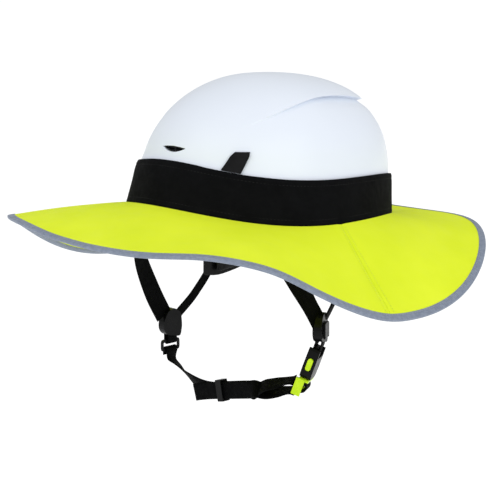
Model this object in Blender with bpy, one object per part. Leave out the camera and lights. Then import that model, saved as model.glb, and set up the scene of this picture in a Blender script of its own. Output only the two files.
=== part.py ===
"""Water sports helmet with a pull-off sun brim, a chin harness and a dial-fit nape cradle.

Front is -Y, the wearer's left is +X, up is +Z. The origin is the centre of the head opening,
level with the lower edge of the brim's stretch band. Lengths below are millimetres and are
turned into metres where a mesh is made.
"""

import math

import bmesh
import bpy
import numpy as np
from mathutils import Matrix, Vector

MM = 0.001

# Shell dome: half lengths ahead of and behind its centre, half width, base height, rise, centre.
DOME_FRONT = 118.4
DOME_REAR = 140.0
DOME_SIDE = 105.0
DOME_BASE = 37.5
DOME_RISE = 93.0
DOME_CENTRE_Y = -1.5
DOME_POWER_FRONT = 1.9
DOME_POWER_REAR = 2.27
SHELL_WALL = 2.5

# The skirt flares outward below FLARE_TOP, most at the front.
FLARE_TOP = 60.0
FLARE_MEAN = 6.5
FLARE_FRONT = 6.5
FLARE_POWER = 1.3

# Rim heights: the opening rises towards the brow.
BAND_LOW_TILT = 13.5
BAND_LOW_WAVE = 4.0
BAND_TALL = 40.5
SHELL_RIM_UP = 6.0
LINER_RIM_UP = 16.5

# Raised rear cap: its edge line, the step it makes and the scoop below it.
RIDGE_MEAN = 98.6
RIDGE_TILT = -11.0
RIDGE_ARCH = -12.0
RIDGE_WAVE = -1.0
RIDGE_STEP = 3.0
SCOOP_DEEP = 1.6
SCOOP_TALL = 11.0

# Liner and pads, as depths below the shell's outer face.
LINER_OUT = 3.3
LINER_IN = 20.0
PAD_OUT = 21.4
PAD_IN = 28.0

# Stretch band.
BAND_IN = 0.45
BAND_OUT = 3.5
CLIP_RELIEF = 2.15

# Brim: plan of its outer edge, and the waves of its height round the head.
BRIM_FRONT_REAR = 224.0
BRIM_SIDE = 206.0
BRIM_CENTRE_Y = -15.5
BRIM_SQUARENESS = 2.3
BRIM_HEIGHT = -28.2
BRIM_WAVES = (12.2, 27.8, -2.6, -11.4)
BRIM_THICK = 2.4
BRIM_BULGE = 1.6
# Local swells of the outer edge: height, angle from the front and spread in degrees.
BRIM_SWELLS = ((4.5, -12.0, 14.0), (-6.0, 25.0, 15.0), (3.0, 56.0, 9.0), (-3.5, 85.0, 12.0))
BRIM_SEAM_DEG = 85.0
BINDING_WIDE = 7.4
BINDING_THICK = 4.0

# Front vent slot and its duct.
VENT_WIDE = 31.0
VENT_TALL = 5.2
VENT_Z = 67.6
VENT_DROP = 1.2

# Side clips.
CLIP_LOW_DEG = (31.0, 40.4)
CLIP_TOP_DEG = (35.9, 44.9)
CLIP_TOP_Z = 68.2
CLIP_PROUD = 2.1

# Webbing.
WEB_WIDE = 20.0
WEB_THIN = 1.5
REAR_WEB_WIDE = 10.0
CHIN_WEB_THIN = 1.4
FIT = 0.35

# Nape cradle and its dial.
DIAL_Z = -50.0
RACK_Y = 115.0
RACK_OFFSET_Z = 7.0
RACK_TALL = 6.0
RACK_THIN = 2.5
PINION_R = 3.7
DIAL_R = 15.0
DIAL_TEETH = 16

# Buckle: its centre, the way it and the left divider face (from the left towards the front), and
# how far its lower end leans in. The plug pulls out down its length.
BUCKLE_C = (93.6, -25.2, -128.6)
LEFT_FACE_DEG = -28.0
BUCKLE_LEAN_DEG = 20.0
BUCKLE_LONG = 31.0
BUCKLE_WIDE = 21.0
BUCKLE_THICK = 11.0
BUTTON_DOWN = 0.6

# Looks shared by several pieces: colour and roughness.
BLACK_PLASTIC = ((0.015, 0.015, 0.017), 0.35)
BLACK_WEBBING = ((0.012, 0.012, 0.014), 0.7)
BLACK_FOAM = ((0.02, 0.02, 0.022), 0.95)
LIME_PLASTIC = ((0.50, 0.72, 0.02), 0.35)


def clear_scene():
    for obj in list(bpy.data.objects):
        bpy.data.objects.remove(obj, do_unlink=True)


def material(name, colour, roughness, metallic=0.0):
    mat = bpy.data.materials.new(name)
    mat.use_nodes = True
    shader = mat.node_tree.nodes["Principled BSDF"]
    shader.inputs["Base Color"].default_value = (*colour, 1.0)
    shader.inputs["Roughness"].default_value = roughness
    shader.inputs["Metallic"].default_value = metallic
    mat.diffuse_color = (*colour, 1.0)
    return mat


def make(name, points, faces, look, smooth=True):
    """An object from points in millimetres. look is (colour, roughness)."""
    mesh = bpy.data.meshes.new(name)
    mesh.from_pydata([tuple(c * MM for c in p) for p in points], [], faces)
    work = bmesh.new()
    work.from_mesh(mesh)
    bmesh.ops.remove_doubles(work, verts=work.verts, dist=2e-6)
    bmesh.ops.recalc_face_normals(work, faces=work.faces)
    if work.calc_volume(signed=True) < 0:
        bmesh.ops.reverse_faces(work, faces=work.faces)
    work.to_mesh(mesh)
    work.free()
    for face in mesh.polygons:
        face.use_smooth = smooth
    obj = bpy.data.objects.new(name, mesh)
    bpy.context.scene.collection.objects.link(obj)
    mesh.materials.append(material(name + "_look", *look))
    return obj


def set_origin(obj, point):
    """Puts a moving piece's origin on its joint's axis. The shape stays where it is."""
    place = Vector([float(c) for c in point]) * MM
    obj.data.transform(Matrix.Translation(-place))
    obj.location = place


def cutter(name, points, faces):
    obj = make(name, points, faces, ((1.0, 0.0, 0.0), 0.5), smooth=False)
    obj.hide_render = True
    obj.display_type = "WIRE"
    return obj


def cut(obj, tool, operation="DIFFERENCE"):
    mod = obj.modifiers.new("cut_" + tool.name, "BOOLEAN")
    mod.operation = operation
    mod.solver = "EXACT"
    mod.object = tool


def cos_sum(th, mean, waves):
    return mean + sum(w * math.cos((k + 1) * th) for k, w in enumerate(waves))


def smoothstep(v):
    v = min(max(v, 0.0), 1.0)
    return v * v * (3.0 - 2.0 * v)


def band_low_z(th):
    return BAND_LOW_TILT * math.cos(th) + BAND_LOW_WAVE * math.cos(3 * th)


def band_top_z(th):
    return BAND_TALL + 1.04 * BAND_LOW_TILT * math.cos(th) + 0.85 * BAND_LOW_WAVE * math.cos(3 * th)


def ridge_z(th):
    return cos_sum(th, RIDGE_MEAN, (RIDGE_TILT, RIDGE_ARCH, RIDGE_WAVE))


def dome_point(th, z, o):
    """The point at angle th from the front and height z, on the face o outside the shell's."""
    s, c = math.sin(th), math.cos(th)
    rise = min(max((z - DOME_BASE) / (DOME_RISE + o), 0.0), 1.0)
    power = DOME_POWER_FRONT * (1 + c) / 2 + DOME_POWER_REAR * (1 - c) / 2
    g = (1 - rise**power) ** (1 / power)
    low = band_low_z(th)
    deep = min(max((FLARE_TOP - z) / (FLARE_TOP - low), 0.0), 1.3)
    flare = (FLARE_MEAN + FLARE_FRONT * c) * deep**FLARE_POWER
    length = DOME_FRONT if c > 0 else DOME_REAR
    x = ((DOME_SIDE + o) * g + flare) * s
    y = DOME_CENTRE_Y - ((length + o) * g + flare) * c
    return (x, y, z)


def dome_top(o):
    return DOME_BASE + DOME_RISE + o


def solid_from_grids(outer, inner, wrap, caps):
    """Points and faces of the closed body between two grids of rows. caps gives the two apex
    points when the last rows close over the top."""
    rows_o, rows_i, cols = len(outer), len(inner), len(outer[0])
    points = [p for row in outer for p in row] + [p for row in inner for p in row]
    base_i = rows_o * cols
    faces = []
    span = cols if wrap else cols - 1
    for r in range(rows_o - 1):
        for c in range(span):
            d = (c + 1) % cols
            a, b = r * cols + c, r * cols + d
            faces.append((a, b, b + cols, a + cols))
    for r in range(rows_i - 1):
        for c in range(span):
            d = (c + 1) % cols
            a, b = base_i + r * cols + c, base_i + r * cols + d
            faces.append((b, a, a + cols, b + cols))
    for c in range(span):
        d = (c + 1) % cols
        faces.append((d, c, base_i + c, base_i + d))
    top_o, top_i = (rows_o - 1) * cols, base_i + (rows_i - 1) * cols
    if caps:
        points += caps
        for c in range(span):
            d = (c + 1) % cols
            faces.append((top_o + c, top_o + d, len(points) - 2))
            faces.append((top_i + d, top_i + c, len(points) - 1))
    else:
        for c in range(span):
            d = (c + 1) % cols
            faces.append((top_o + c, top_o + d, top_i + d, top_i + c))
    if not wrap:
        edge_o = [r * cols for r in range(rows_o)]
        edge_i = [base_i + r * cols for r in range(rows_i)]
        faces.append(tuple(edge_o) + tuple(reversed(edge_i)))
        edge_o = [r * cols + cols - 1 for r in range(rows_o)]
        edge_i = [base_i + r * cols + cols - 1 for r in range(rows_i)]
        faces.append(tuple(reversed(edge_o)) + tuple(edge_i))
    return points, faces


def shell_grid(cols):
    """Outer face of the shell, row by row, with the raised rear cap."""
    rows = []
    angles = [2 * math.pi * c / cols for c in range(cols)]
    for part in (0.0, 0.5, 1.0):
        row = []
        for th in angles:
            low, high = band_low_z(th) + SHELL_RIM_UP, band_top_z(th)
            row.append(dome_point(th, low + (high - low) * part, 0.0))
        rows.append(row)
    for part in (0.34, 0.67):
        row = []
        for th in angles:
            low, high = band_top_z(th), ridge_z(th) - SCOOP_TALL
            row.append(dome_point(th, low + (high - low) * part, 0.0))
        rows.append(row)
    for drop, move in ((SCOOP_TALL, 0.0), (SCOOP_TALL * 0.5, -0.7), (0.6, -1.0)):
        row = []
        for th in angles:
            turn = math.degrees(min(th, 2 * math.pi - th))
            scoop = SCOOP_DEEP * smoothstep((turn - 80) / 25)
            row.append(dome_point(th, ridge_z(th) - drop, scoop * move))
        rows.append(row)
    for part in (0.0, 0.25, 0.5, 0.72, 0.88):
        row = []
        for th in angles:
            turn = math.degrees(min(th, 2 * math.pi - th))
            step = RIDGE_STEP * smoothstep((turn - 35) / 45) * (1 - part)
            low = ridge_z(th) + 0.9
            z = low + (dome_top(0) - low) * math.sin(part * math.pi / 2)
            row.append(dome_point(th, z, step))
        rows.append(row)
    return rows


def inner_rows(cols, o, rim_up, count):
    rows = []
    for k in range(count):
        part = k / count
        row = []
        for c in range(cols):
            th = 2 * math.pi * c / cols
            low, top = band_low_z(th) + rim_up, dome_top(o)
            row.append(dome_point(th, low + (top - low) * math.sin(part * math.pi / 2), o))
        rows.append(row)
    return rows


def lens_prism(name, width, tall, y0, y1):
    """A prism along Y with a smiling lens section, for the vent."""
    count = 10
    upper, lower = [], []
    for k in range(count + 1):
        x = -width / 2 + width * k / count
        bow = 1 - (2 * x / width) ** 2
        lower.append((x, VENT_Z + VENT_DROP - (tall / 2 + VENT_DROP) * bow))
        upper.append((x, VENT_Z + VENT_DROP + (tall / 2 - VENT_DROP) * bow))
    ring = lower + list(reversed(upper[1:-1]))
    n = len(ring)
    points = [(x, y0, z) for x, z in ring] + [(x, y1, z) for x, z in ring]
    faces = [tuple(range(n)), tuple(reversed(range(n, 2 * n)))]
    faces += [(k, (k + 1) % n, n + (k + 1) % n, n + k) for k in range(n)]
    return points, faces


def make_shell():
    cols = 48
    outer = shell_grid(cols)
    inner = inner_rows(cols, -SHELL_WALL, SHELL_RIM_UP, 10)
    caps = [(0, DOME_CENTRE_Y, dome_top(0)), (0, DOME_CENTRE_Y, dome_top(-SHELL_WALL))]
    points, faces = solid_from_grids(outer, inner, True, caps)
    shell = make("outer_shell", points, faces, ((0.86, 0.88, 0.93), 0.18))
    cut(shell, cutter("vent_cut", *lens_prism("v", VENT_WIDE, VENT_TALL, -150, -60)))


def make_liner():
    cols = 48
    outer = inner_rows(cols, -LINER_OUT, LINER_RIM_UP, 8)
    inner = inner_rows(cols, -LINER_IN, LINER_RIM_UP, 8)
    caps = [(0, DOME_CENTRE_Y, dome_top(-LINER_OUT)), (0, DOME_CENTRE_Y, dome_top(-LINER_IN))]
    points, faces = solid_from_grids(outer, inner, True, caps)
    liner = make("foam_liner", points, faces, ((0.03, 0.03, 0.035), 0.8))
    cut(liner, cutter("duct_cut", *lens_prism("v", VENT_WIDE, VENT_TALL, -150, -60)))


def make_vent():
    points, faces = lens_prism("v", VENT_WIDE - 0.8, VENT_TALL - 0.75, -108.6, -98.0)
    duct = make("vent_insert_front", points, faces, ((0.01, 0.01, 0.012), 0.5), smooth=False)
    for side in (-1, 1):
        x0, x1 = sorted((side * 1.0, side * 10.5))
        slot = box_mesh((x0, -120, VENT_Z - 0.9), (x1, -90, VENT_Z + 0.7))
        cut(duct, cutter("slot_%d" % side, *slot))


def box_mesh(low, high):
    (x0, y0, z0), (x1, y1, z1) = low, high
    points = [(x, y, z) for x in (x0, x1) for y in (y0, y1) for z in (z0, z1)]
    faces = [(0, 1, 3, 2), (4, 6, 7, 5), (0, 4, 5, 1), (2, 3, 7, 6), (0, 2, 6, 4), (1, 5, 7, 3)]
    return points, faces


def pad_patch(name, deg0, deg1, z_low, z_high, cols):
    outer, inner = [], []
    for part in (0.0, 0.33, 0.67, 1.0):
        row_o, row_i = [], []
        for c in range(cols):
            th = math.radians(deg0 + (deg1 - deg0) * c / (cols - 1))
            lift = band_low_z(th)
            z = lift + z_low + (z_high - z_low) * part
            squeeze = 1.2 if part in (0.0, 1.0) or c in (0, cols - 1) else 0.0
            row_o.append(dome_point(th, z, -PAD_OUT))
            row_i.append(dome_point(th, z, -PAD_IN + squeeze))
        outer.append(row_o)
        inner.append(row_i)
    points, faces = solid_from_grids(outer, inner, False, None)
    make(name, points, faces, BLACK_FOAM)


def make_pads():
    pad_patch("brow_pad", -38, 38, 20, 48, 9)
    pad_patch("side_pad_left", 58, 104, 22, 60, 7)
    pad_patch("side_pad_right", -104, -58, 22, 60, 7)
    pad_patch("rear_pad", 146, 214, 22, 56, 8)
    cols = 20
    outer, inner = [], []
    for part in (0.0, 0.5):
        row_o, row_i = [], []
        for c in range(cols):
            th = 2 * math.pi * c / cols
            for row, o in ((row_o, -PAD_OUT), (row_i, -PAD_IN)):
                top = dome_top(o)
                low = DOME_BASE + (top - DOME_BASE) * 0.93
                row.append(dome_point(th, low + (top - low) * part, o))
        outer.append(row_o)
        inner.append(row_i)
    caps = [(0, DOME_CENTRE_Y, dome_top(-PAD_OUT)), (0, DOME_CENTRE_Y, dome_top(-PAD_IN))]
    points, faces = solid_from_grids(outer, inner, True, caps)
    make("crown_pad", points, faces, BLACK_FOAM)


def make_side_clip(name, side):
    """A fin that leans back, standing on the shell just above the band."""
    outer, inner = [], []
    cols = 5
    for part in (0.0, 0.4, 0.8, 1.0):
        row_o, row_i = [], []
        d0 = CLIP_LOW_DEG[0] + (CLIP_TOP_DEG[0] - CLIP_LOW_DEG[0]) * part
        d1 = CLIP_LOW_DEG[1] + (CLIP_TOP_DEG[1] - CLIP_LOW_DEG[1]) * part
        if part == 1.0:
            d0, d1 = d0 + 1.0, d1 - 0.6
        for c in range(cols):
            deg = d0 + (d1 - d0) * c / (cols - 1)
            th = math.radians(deg)
            low = band_top_z(th) + 0.4
            z = low + (CLIP_TOP_Z - low) * part
            th *= side
            row_o.append(dome_point(th, z, CLIP_PROUD))
            row_i.append(dome_point(th, z, 0.3))
        outer.append(row_o)
        inner.append(row_i)
    points, faces = solid_from_grids(outer, inner, False, None)
    make(name, points, faces, BLACK_PLASTIC, smooth=False)


def band_inner_offset(th):
    turn = math.degrees(abs(math.atan2(math.sin(th), math.cos(th))))
    return BAND_IN + CLIP_RELIEF * smoothstep((turn - 18) / 6) * smoothstep((50 - turn) / 6)


def make_band():
    cols = 72
    outer, inner = [], []
    for part in (0.0, 0.5, 1.0):
        row_o, row_i = [], []
        for c in range(cols):
            th = 2 * math.pi * c / cols
            low, high = band_low_z(th), band_top_z(th)
            z = low + (high - low) * part
            row_o.append(dome_point(th, z, BAND_OUT))
            row_i.append(dome_point(th, z, band_inner_offset(th)))
        outer.append(row_o)
        inner.append(row_i)
    points, faces = solid_from_grids(outer, inner, True, None)
    make("brim_band", points, faces, ((0.006, 0.006, 0.008), 0.9))


def brim_inner(th):
    x, y, z = dome_point(th, band_low_z(th), BAND_OUT + 0.9)
    return np.array((x, y, z + 0.3))


def brim_edge(th):
    s, c = math.sin(th), math.cos(th)
    power = 2 / BRIM_SQUARENESS
    x = BRIM_SIDE * math.copysign(abs(s) ** power, s)
    y = BRIM_CENTRE_Y - BRIM_FRONT_REAR * math.copysign(abs(c) ** power, c)
    z = cos_sum(th, BRIM_HEIGHT, BRIM_WAVES)
    turn = math.degrees(math.atan2(s, c))
    for rise, at, spread in BRIM_SWELLS:
        z += rise * math.exp(-(((turn - at) / spread) ** 2))
    return np.array((x, y, z))


def brim_mid(th, part):
    """Middle surface of the brim: part runs from 0 at the band to 1 at the outer edge."""
    a, b = brim_inner(th), brim_edge(th)
    p = a + (b - a) * part
    p[2] += BRIM_BULGE * 4 * part * (1 - part)
    return p


def brim_frame(th, part):
    """The middle point, the outward direction and the normal there."""
    step = 1e-3
    ahead = brim_mid(th + step, part) - brim_mid(th - step, part)
    out = brim_mid(th, part + step) - brim_mid(th, part - step)
    normal = np.cross(ahead, out)
    normal /= np.linalg.norm(normal)
    if normal[2] < 0:
        normal = -normal
    out = out / np.linalg.norm(out)
    return brim_mid(th, part), out, normal


def make_brim_panel(name, deg0, deg1, cols):
    outer, inner = [], []
    for part in (0.0, 0.2, 0.45, 0.7, 0.93, 1.0):
        row_o, row_i = [], []
        for c in range(cols):
            nudge = 0.1 if c == 0 else -0.1 if c == cols - 1 else 0.0
            th = math.radians(deg0 + (deg1 - deg0) * c / (cols - 1) + nudge)
            mid, out, normal = brim_frame(th, part)
            if part == 1.0:
                mid = mid - out * 0.45
            row_o.append(mid + normal * BRIM_THICK / 2)
            row_i.append(mid - normal * BRIM_THICK / 2)
        outer.append(row_o)
        inner.append(row_i)
    points, faces = solid_from_grids(outer, inner, False, None)
    make(name, points, faces, ((0.70, 0.86, 0.03), 0.75))


def make_binding():
    cols = 72
    thick, slot = BINDING_THICK / 2, BRIM_THICK / 2 + 0.35
    section = (
        (-BINDING_WIDE + 1.2, thick), (1.2, thick), (1.2, -thick), (-BINDING_WIDE + 1.2, -thick),
        (-BINDING_WIDE + 1.2, -slot), (-0.1, -slot), (-0.1, slot), (-BINDING_WIDE + 1.2, slot),
    )
    points, faces = [], []
    n = len(section)
    for c in range(cols):
        th = 2 * math.pi * c / cols
        mid, out, normal = brim_frame(th, 1.0)
        for u, v in section:
            back = mid
            bend = normal
            if u < -1:
                part = 1 + u / np.linalg.norm(brim_edge(th) - brim_inner(th))
                back, _, bend = brim_frame(th, part)
                points.append(back + bend * v)
            else:
                points.append(back + out * u + bend * v)
    for c in range(cols):
        d = (c + 1) % cols
        for k in range(n):
            m = (k + 1) % n
            faces.append((c * n + k, c * n + m, d * n + m, d * n + k))
    make("edge_binding", points, faces, ((0.22, 0.26, 0.34), 0.5), smooth=False)


def smooth_path(keys, per):
    """Catmull-Rom points through the keys, per segment."""
    keys = [np.array(k, float) for k in keys]
    keys = [2 * keys[0] - keys[1]] + keys + [2 * keys[-1] - keys[-2]]
    out = []
    for i in range(1, len(keys) - 2):
        a, b, c, d = keys[i - 1 : i + 3]
        for k in range(per):
            t = k / per
            out.append(
                0.5 * (2 * b + (c - a) * t + (2 * a - 5 * b + 4 * c - d) * t**2
                       + (3 * b - a - 3 * c + d) * t**3)
            )
    out.append(keys[-2])
    return out


def ribbon(keys, wides, width, thin, per=3, grow=0.0):
    """A flat strap along keys. wides gives the direction of its width at each key."""
    path = smooth_path(keys, per)
    across = smooth_path(wides, per)
    if np.ndim(width) == 0:
        width = [width] * len(keys)
    widths = smooth_path([(w, 0, 0) for w in width], per)
    points, faces = [], []
    last = len(path) - 1
    for i, p in enumerate(path):
        run = path[min(i + 1, last)] - path[max(i - 1, 0)]
        run /= np.linalg.norm(run)
        w = across[i] - run * np.dot(across[i], run)
        w /= np.linalg.norm(w)
        t = np.cross(run, w)
        if grow and i == 0:
            p = p - run * grow
        if grow and i == last:
            p = p + run * grow
        a = (widths[i][0] / 2 + grow) * w
        b = (thin / 2 + grow) * t
        points += [p - a - b, p + a - b, p + a + b, p - a + b]
    for i in range(last):
        for k in range(4):
            m = (k + 1) % 4
            faces.append((i * 4 + k, i * 4 + m, i * 4 + 4 + m, i * 4 + 4 + k))
    faces += [(3, 2, 1, 0), (last * 4, last * 4 + 1, last * 4 + 2, last * 4 + 3)]
    return points, faces


def extrude_x(outline, x0, x1):
    """A plate whose outline is in the YZ plane, between two X positions."""
    n = len(outline)
    points = [(x0, y, z) for y, z in outline] + [(x1, y, z) for y, z in outline]
    faces = [tuple(range(n)), tuple(reversed(range(n, 2 * n)))]
    faces += [(k, (k + 1) % n, n + (k + 1) % n, n + k) for k in range(n)]
    return points, faces


def rectangle(u, v, half_u, half_v):
    """The corners of a rectangle about a centre."""
    return (
        (u - half_u, v - half_v), (u + half_u, v - half_v),
        (u + half_u, v + half_v), (u - half_u, v + half_v),
    )


def rounded(outline, radius, steps=2):
    """The outline with each corner rounded."""
    out = []
    n = len(outline)
    for k in range(n):
        p = np.array(outline[k], float)
        a = np.array(outline[k - 1], float) - p
        b = np.array(outline[(k + 1) % n], float) - p
        r = min(radius, 0.45 * np.linalg.norm(a), 0.45 * np.linalg.norm(b))
        a, b = p + a / np.linalg.norm(a) * r, p + b / np.linalg.norm(b) * r
        for j in range(steps + 1):
            t = j / steps
            out.append(tuple((1 - t) ** 2 * a + 2 * t * (1 - t) * p + t**2 * b))
    return out


def cylinder_mesh(centre, axis, radius, length, sides=24):
    """A cylinder that starts at centre and runs length along axis."""
    axis = np.array(axis, float)
    axis /= np.linalg.norm(axis)
    side = np.cross(axis, (0, 0, 1) if abs(axis[2]) < 0.9 else (1, 0, 0))
    side /= np.linalg.norm(side)
    other = np.cross(axis, side)
    points = []
    for end in (0, length):
        for k in range(sides):
            a = 2 * math.pi * k / sides
            spoke = math.cos(a) * side + math.sin(a) * other
            points.append(np.array(centre) + axis * end + radius * spoke)
    faces = [tuple(reversed(range(sides))), tuple(range(sides, 2 * sides))]
    faces += [(k, (k + 1) % sides, sides + (k + 1) % sides, sides + k) for k in range(sides)]
    return points, faces


# Strap lines on each side, from the anchor down to the divider. The harness hangs a little
# differently on the two sides, as it does when only one side's webbing has been drawn in.
FRONT_STRAP = {
    1: (
        (84.5, -74.0, 10.0), (87.5, -68.0, -12.0), (92.0, -48.0, -46.0), (96.0, -33.5, -72.0),
        (99.0, -22.4, -92.0),
    ),
    -1: (
        (-83.0, -80.0, 9.0), (-87.0, -80.5, -14.0), (-93.5, -74.0, -48.0), (-97.5, -56.0, -86.0),
        (-98.0, -40.0, -114.5),
    ),
}
REAR_STRAP = {
    1: (
        (100.7, 34.5, 9.0), (100.4, 30.0, -14.0), (100.8, 14.0, -45.0), (102.0, -4.5, -72.0),
        (97.7, -13.2, -91.0),
    ),
    -1: (
        (-100.7, 34.5, 9.0), (-100.5, 34.0, -30.0), (-98.8, 27.0, -68.0), (-98.0, 3.0, -96.5),
        (-98.0, -21.0, -115.5),
    ),
}
DIVIDER_SHIFT = {1: (-19.5, -97.0), -1: (-31.0, -123.0)}
LOOP_GAP = 2.9
LOOP_WIDE = 12.0
LOOP_THIN = 1.2
LEG_TOP = 4.0
LEG_OFFSET = {1: 1.0, -1: 0.5}
RING_C = (-98.0, -32.0, -145.6)
RING_TALL = 12.2
RING_BAR = 2.8
RING_THICK = 2.6
DIVIDER_HALF = 4.2


def divider_axes(side):
    """Down, outward from the plate's face, and across towards the front."""
    if side < 0:
        return np.array((0.0, 0.0, -1.0)), np.array((1.0, 0.0, 0.0)), np.array((0.0, -1.0, 0.0))
    turn = math.radians(LEFT_FACE_DEG)
    out = np.array((math.cos(turn), -math.sin(turn), 0.0))
    return np.array((0.0, 0.0, -1.0)), out, np.array((-math.sin(turn), -math.cos(turn), 0.0))


def buckle_axes():
    down, out, wide = divider_axes(1)
    lean = math.radians(BUCKLE_LEAN_DEG)
    along = down * math.cos(lean) - out * math.sin(lean)
    return along, out * math.cos(lean) + down * math.sin(lean), wide


def across_run(keys, normals):
    """Width directions that keep the strap's face square to the normal at each key."""
    wides = []
    last = len(keys) - 1
    for k in range(len(keys)):
        run = np.array(keys[min(k + 1, last)], float) - np.array(keys[max(k - 1, 0)], float)
        w = np.cross(run, normals[k])
        wides.append(w / np.linalg.norm(w))
    return wides


def make_straps(side, tag):
    front, rear = FRONT_STRAP[side], REAR_STRAP[side]
    plate = divider_axes(side)[1]
    outward = np.array((1.0, 0.0, 0.0))
    front_rim = np.array((0.70, -0.71 * side, 0.0))
    turned = plate * 0.7 + front_rim * 0.3 if side > 0 else plate
    middle = 0.6 * outward + 0.4 * front_rim
    front_w = across_run(front, (front_rim, front_rim, middle, turned, turned))
    rear_w = across_run(rear, (outward, outward, outward, plate, plate))
    make("front_strap_" + tag, *ribbon(front, front_w, WEB_WIDE, WEB_THIN), BLACK_WEBBING)
    make("rear_strap_" + tag, *ribbon(rear, rear_w, REAR_WEB_WIDE, WEB_THIN), BLACK_WEBBING)
    return (front, front_w, WEB_WIDE), (rear, rear_w, REAR_WEB_WIDE)


def make_anchor(name, strap):
    """A block fixed to the inside of the shell, holding the top end of a strap."""
    keys, wides, width = strap
    top = np.array(keys[0], float)
    th = math.atan2(top[0] / DOME_SIDE, -(top[1] - DOME_CENTRE_Y) / DOME_FRONT)
    half = math.degrees((width / 2 + 3.0) / 108.0)
    outer, inner = [], []
    for part in (0.0, 1.0):
        row_o, row_i = [], []
        for c in range(5):
            a = th + math.radians(-half + half * c / 2)
            z = band_low_z(a) + SHELL_RIM_UP - 1.0 + 11.0 * part
            row_o.append(dome_point(a, z, -LINER_OUT))
            row_i.append(dome_point(a, z, -LINER_OUT - 9.0))
        outer.append(row_o)
        inner.append(row_i)
    points, faces = solid_from_grids(outer, inner, False, None)
    anchor = make(name, points, faces, BLACK_PLASTIC, smooth=False)
    cut(anchor, cutter(name + "_slot", *ribbon(keys, wides, width, WEB_THIN, grow=FIT)))


def make_divider(side, tag, straps):
    """The Y piece where front and rear straps meet: a leaf-shaped plate with pockets."""
    y, z = DIVIDER_SHIFT[side]
    place = (98.0 * side, y, z)
    axes = divider_axes(side)
    leaf = ((12.4, -3), (6, -13.5), (-3, -15), (-10.5, -9), (-11.8, 4), (-9.5, 15), (8.5, 11), (12.8, 5))
    points, faces = framed_plate(place, rounded(leaf, 3.0), -DIVIDER_HALF, DIVIDER_HALF, axes)
    body = make("divider_" + tag, points, faces, BLACK_PLASTIC, smooth=False)
    for k, (keys, wides, width) in enumerate(straps):
        pocket = ribbon(keys, wides, width, WEB_THIN, grow=FIT)
        cut(body, cutter("divider_%s_%d" % (tag, k), *pocket))
    offset = LEG_OFFSET[side]
    wide, room = LOOP_WIDE / 2 + FIT, LOOP_THIN / 2 + FIT
    for leg_side in (-1, 1):
        mid = leg_side * LOOP_GAP
        low = (offset - wide, mid - room, LEG_TOP - FIT)
        high = (offset + wide, mid + room, 20.0)
        pocket = framed_box(place, low, high, axes)
        cut(body, cutter("divider_%s_leg_%d" % (tag, leg_side), *pocket))
    near, far = sorted((side * (DIVIDER_HALF + 0.35), side * (DIVIDER_HALF + 2.5)))
    pin = 8.0
    flap = rounded(((7, -6), (-6, -6), (-6.5, pin), (6.5, pin)), 2.0)
    points, faces = framed_plate(place, flap, near, far, axes)
    plate = make("divider_flap_" + tag, points, faces, BLACK_PLASTIC, smooth=False)
    down, out, across = axes
    hinge = np.array(place) + (near + far) / 2 * out + pin * down
    set_origin(plate, hinge)
    barrel = cylinder_mesh(hinge - 6.5 * across, across, (far - near) / 2, 13, 12)
    cut(plate, cutter("flap_barrel_" + tag, *barrel), "UNION")


def loop_place(side):
    """Where a lower strap goes round its bar: frame centre, axes, sideways offset and how far down
    the bar's middle is."""
    if side > 0:
        return BUCKLE_C, buckle_axes(), -1.0, -BUCKLE_LONG / 2 + 4.4 - RING_BAR / 2
    return RING_C, divider_axes(-1), -0.5, -RING_TALL / 2 + RING_BAR / 2


def make_lower_strap(side, tag):
    """A short loop of webbing from the divider, round a bar and back."""
    centre, (down, out, wide), offset, turn = loop_place(side)
    origin = np.array(centre) + offset * wide
    y, z = DIVIDER_SHIFT[side]
    plate_down, plate_out, across = divider_axes(side)
    top = np.array((98.0 * side, y, z)) + LEG_OFFSET[side] * across
    keys = [top + LOOP_GAP * plate_out + d * plate_down for d in (LEG_TOP, 9.5, 13.5)]
    for k in range(7):
        a = math.pi * k / 6
        keys.append(origin + LOOP_GAP * math.cos(a) * out + (turn + LOOP_GAP * math.sin(a)) * down)
    keys += [top - LOOP_GAP * plate_out + d * plate_down for d in (13.5, 9.5, LEG_TOP)]
    strap = ribbon(keys, [wide] * len(keys), LOOP_WIDE, LOOP_THIN, per=2)
    make("lower_strap_" + tag, *strap, BLACK_WEBBING)


def make_right_ring():
    """The small rectangular ring that joins the chin webbing to the right divider."""
    x, y, z = RING_C
    half = RING_TALL / 2
    outer = rounded(rectangle(y, z, 11.5, half), 3.0)
    points, faces = extrude_x(outer, x - RING_THICK / 2, x + RING_THICK / 2)
    ring = make("chin_ring_right", points, faces, BLACK_PLASTIC, smooth=False)
    inner = rounded(rectangle(y, z, 9.6, half - RING_BAR), 1.0)
    cut(ring, cutter("ring_hole", *extrude_x(inner, x - 5, x + 5)))


# The chin webbing's line under the jaw, from the right ring towards the plug. It is straight where
# the keeper slides.
CHIN_RUN = (
    (-95.3, -32.5, -159.6), (-84.0, -34.0, -164.5), (-64.0, -37.0, -171.5), (-44.0, -39.6, -176.3),
    (-26.0, -40.6, -177.0), (-8.0, -41.2, -173.0), (28.0, -42.4, -165.0),
)
CHIN_WIDE = (
    (0.3, -1.0, 0.15), (0.55, -0.8, 0.25), (0.5, -0.6, 0.55), (0.2, -0.3, 0.9),
    (0.0, -0.05, 1.0), (0.0, 0.0, 1.0), (0.0, 0.0, 1.0),
)
CHIN_WIDTHS = (15.0, 15.5, 16.5, 17.0, 17.0, 17.0, 17.0)
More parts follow.
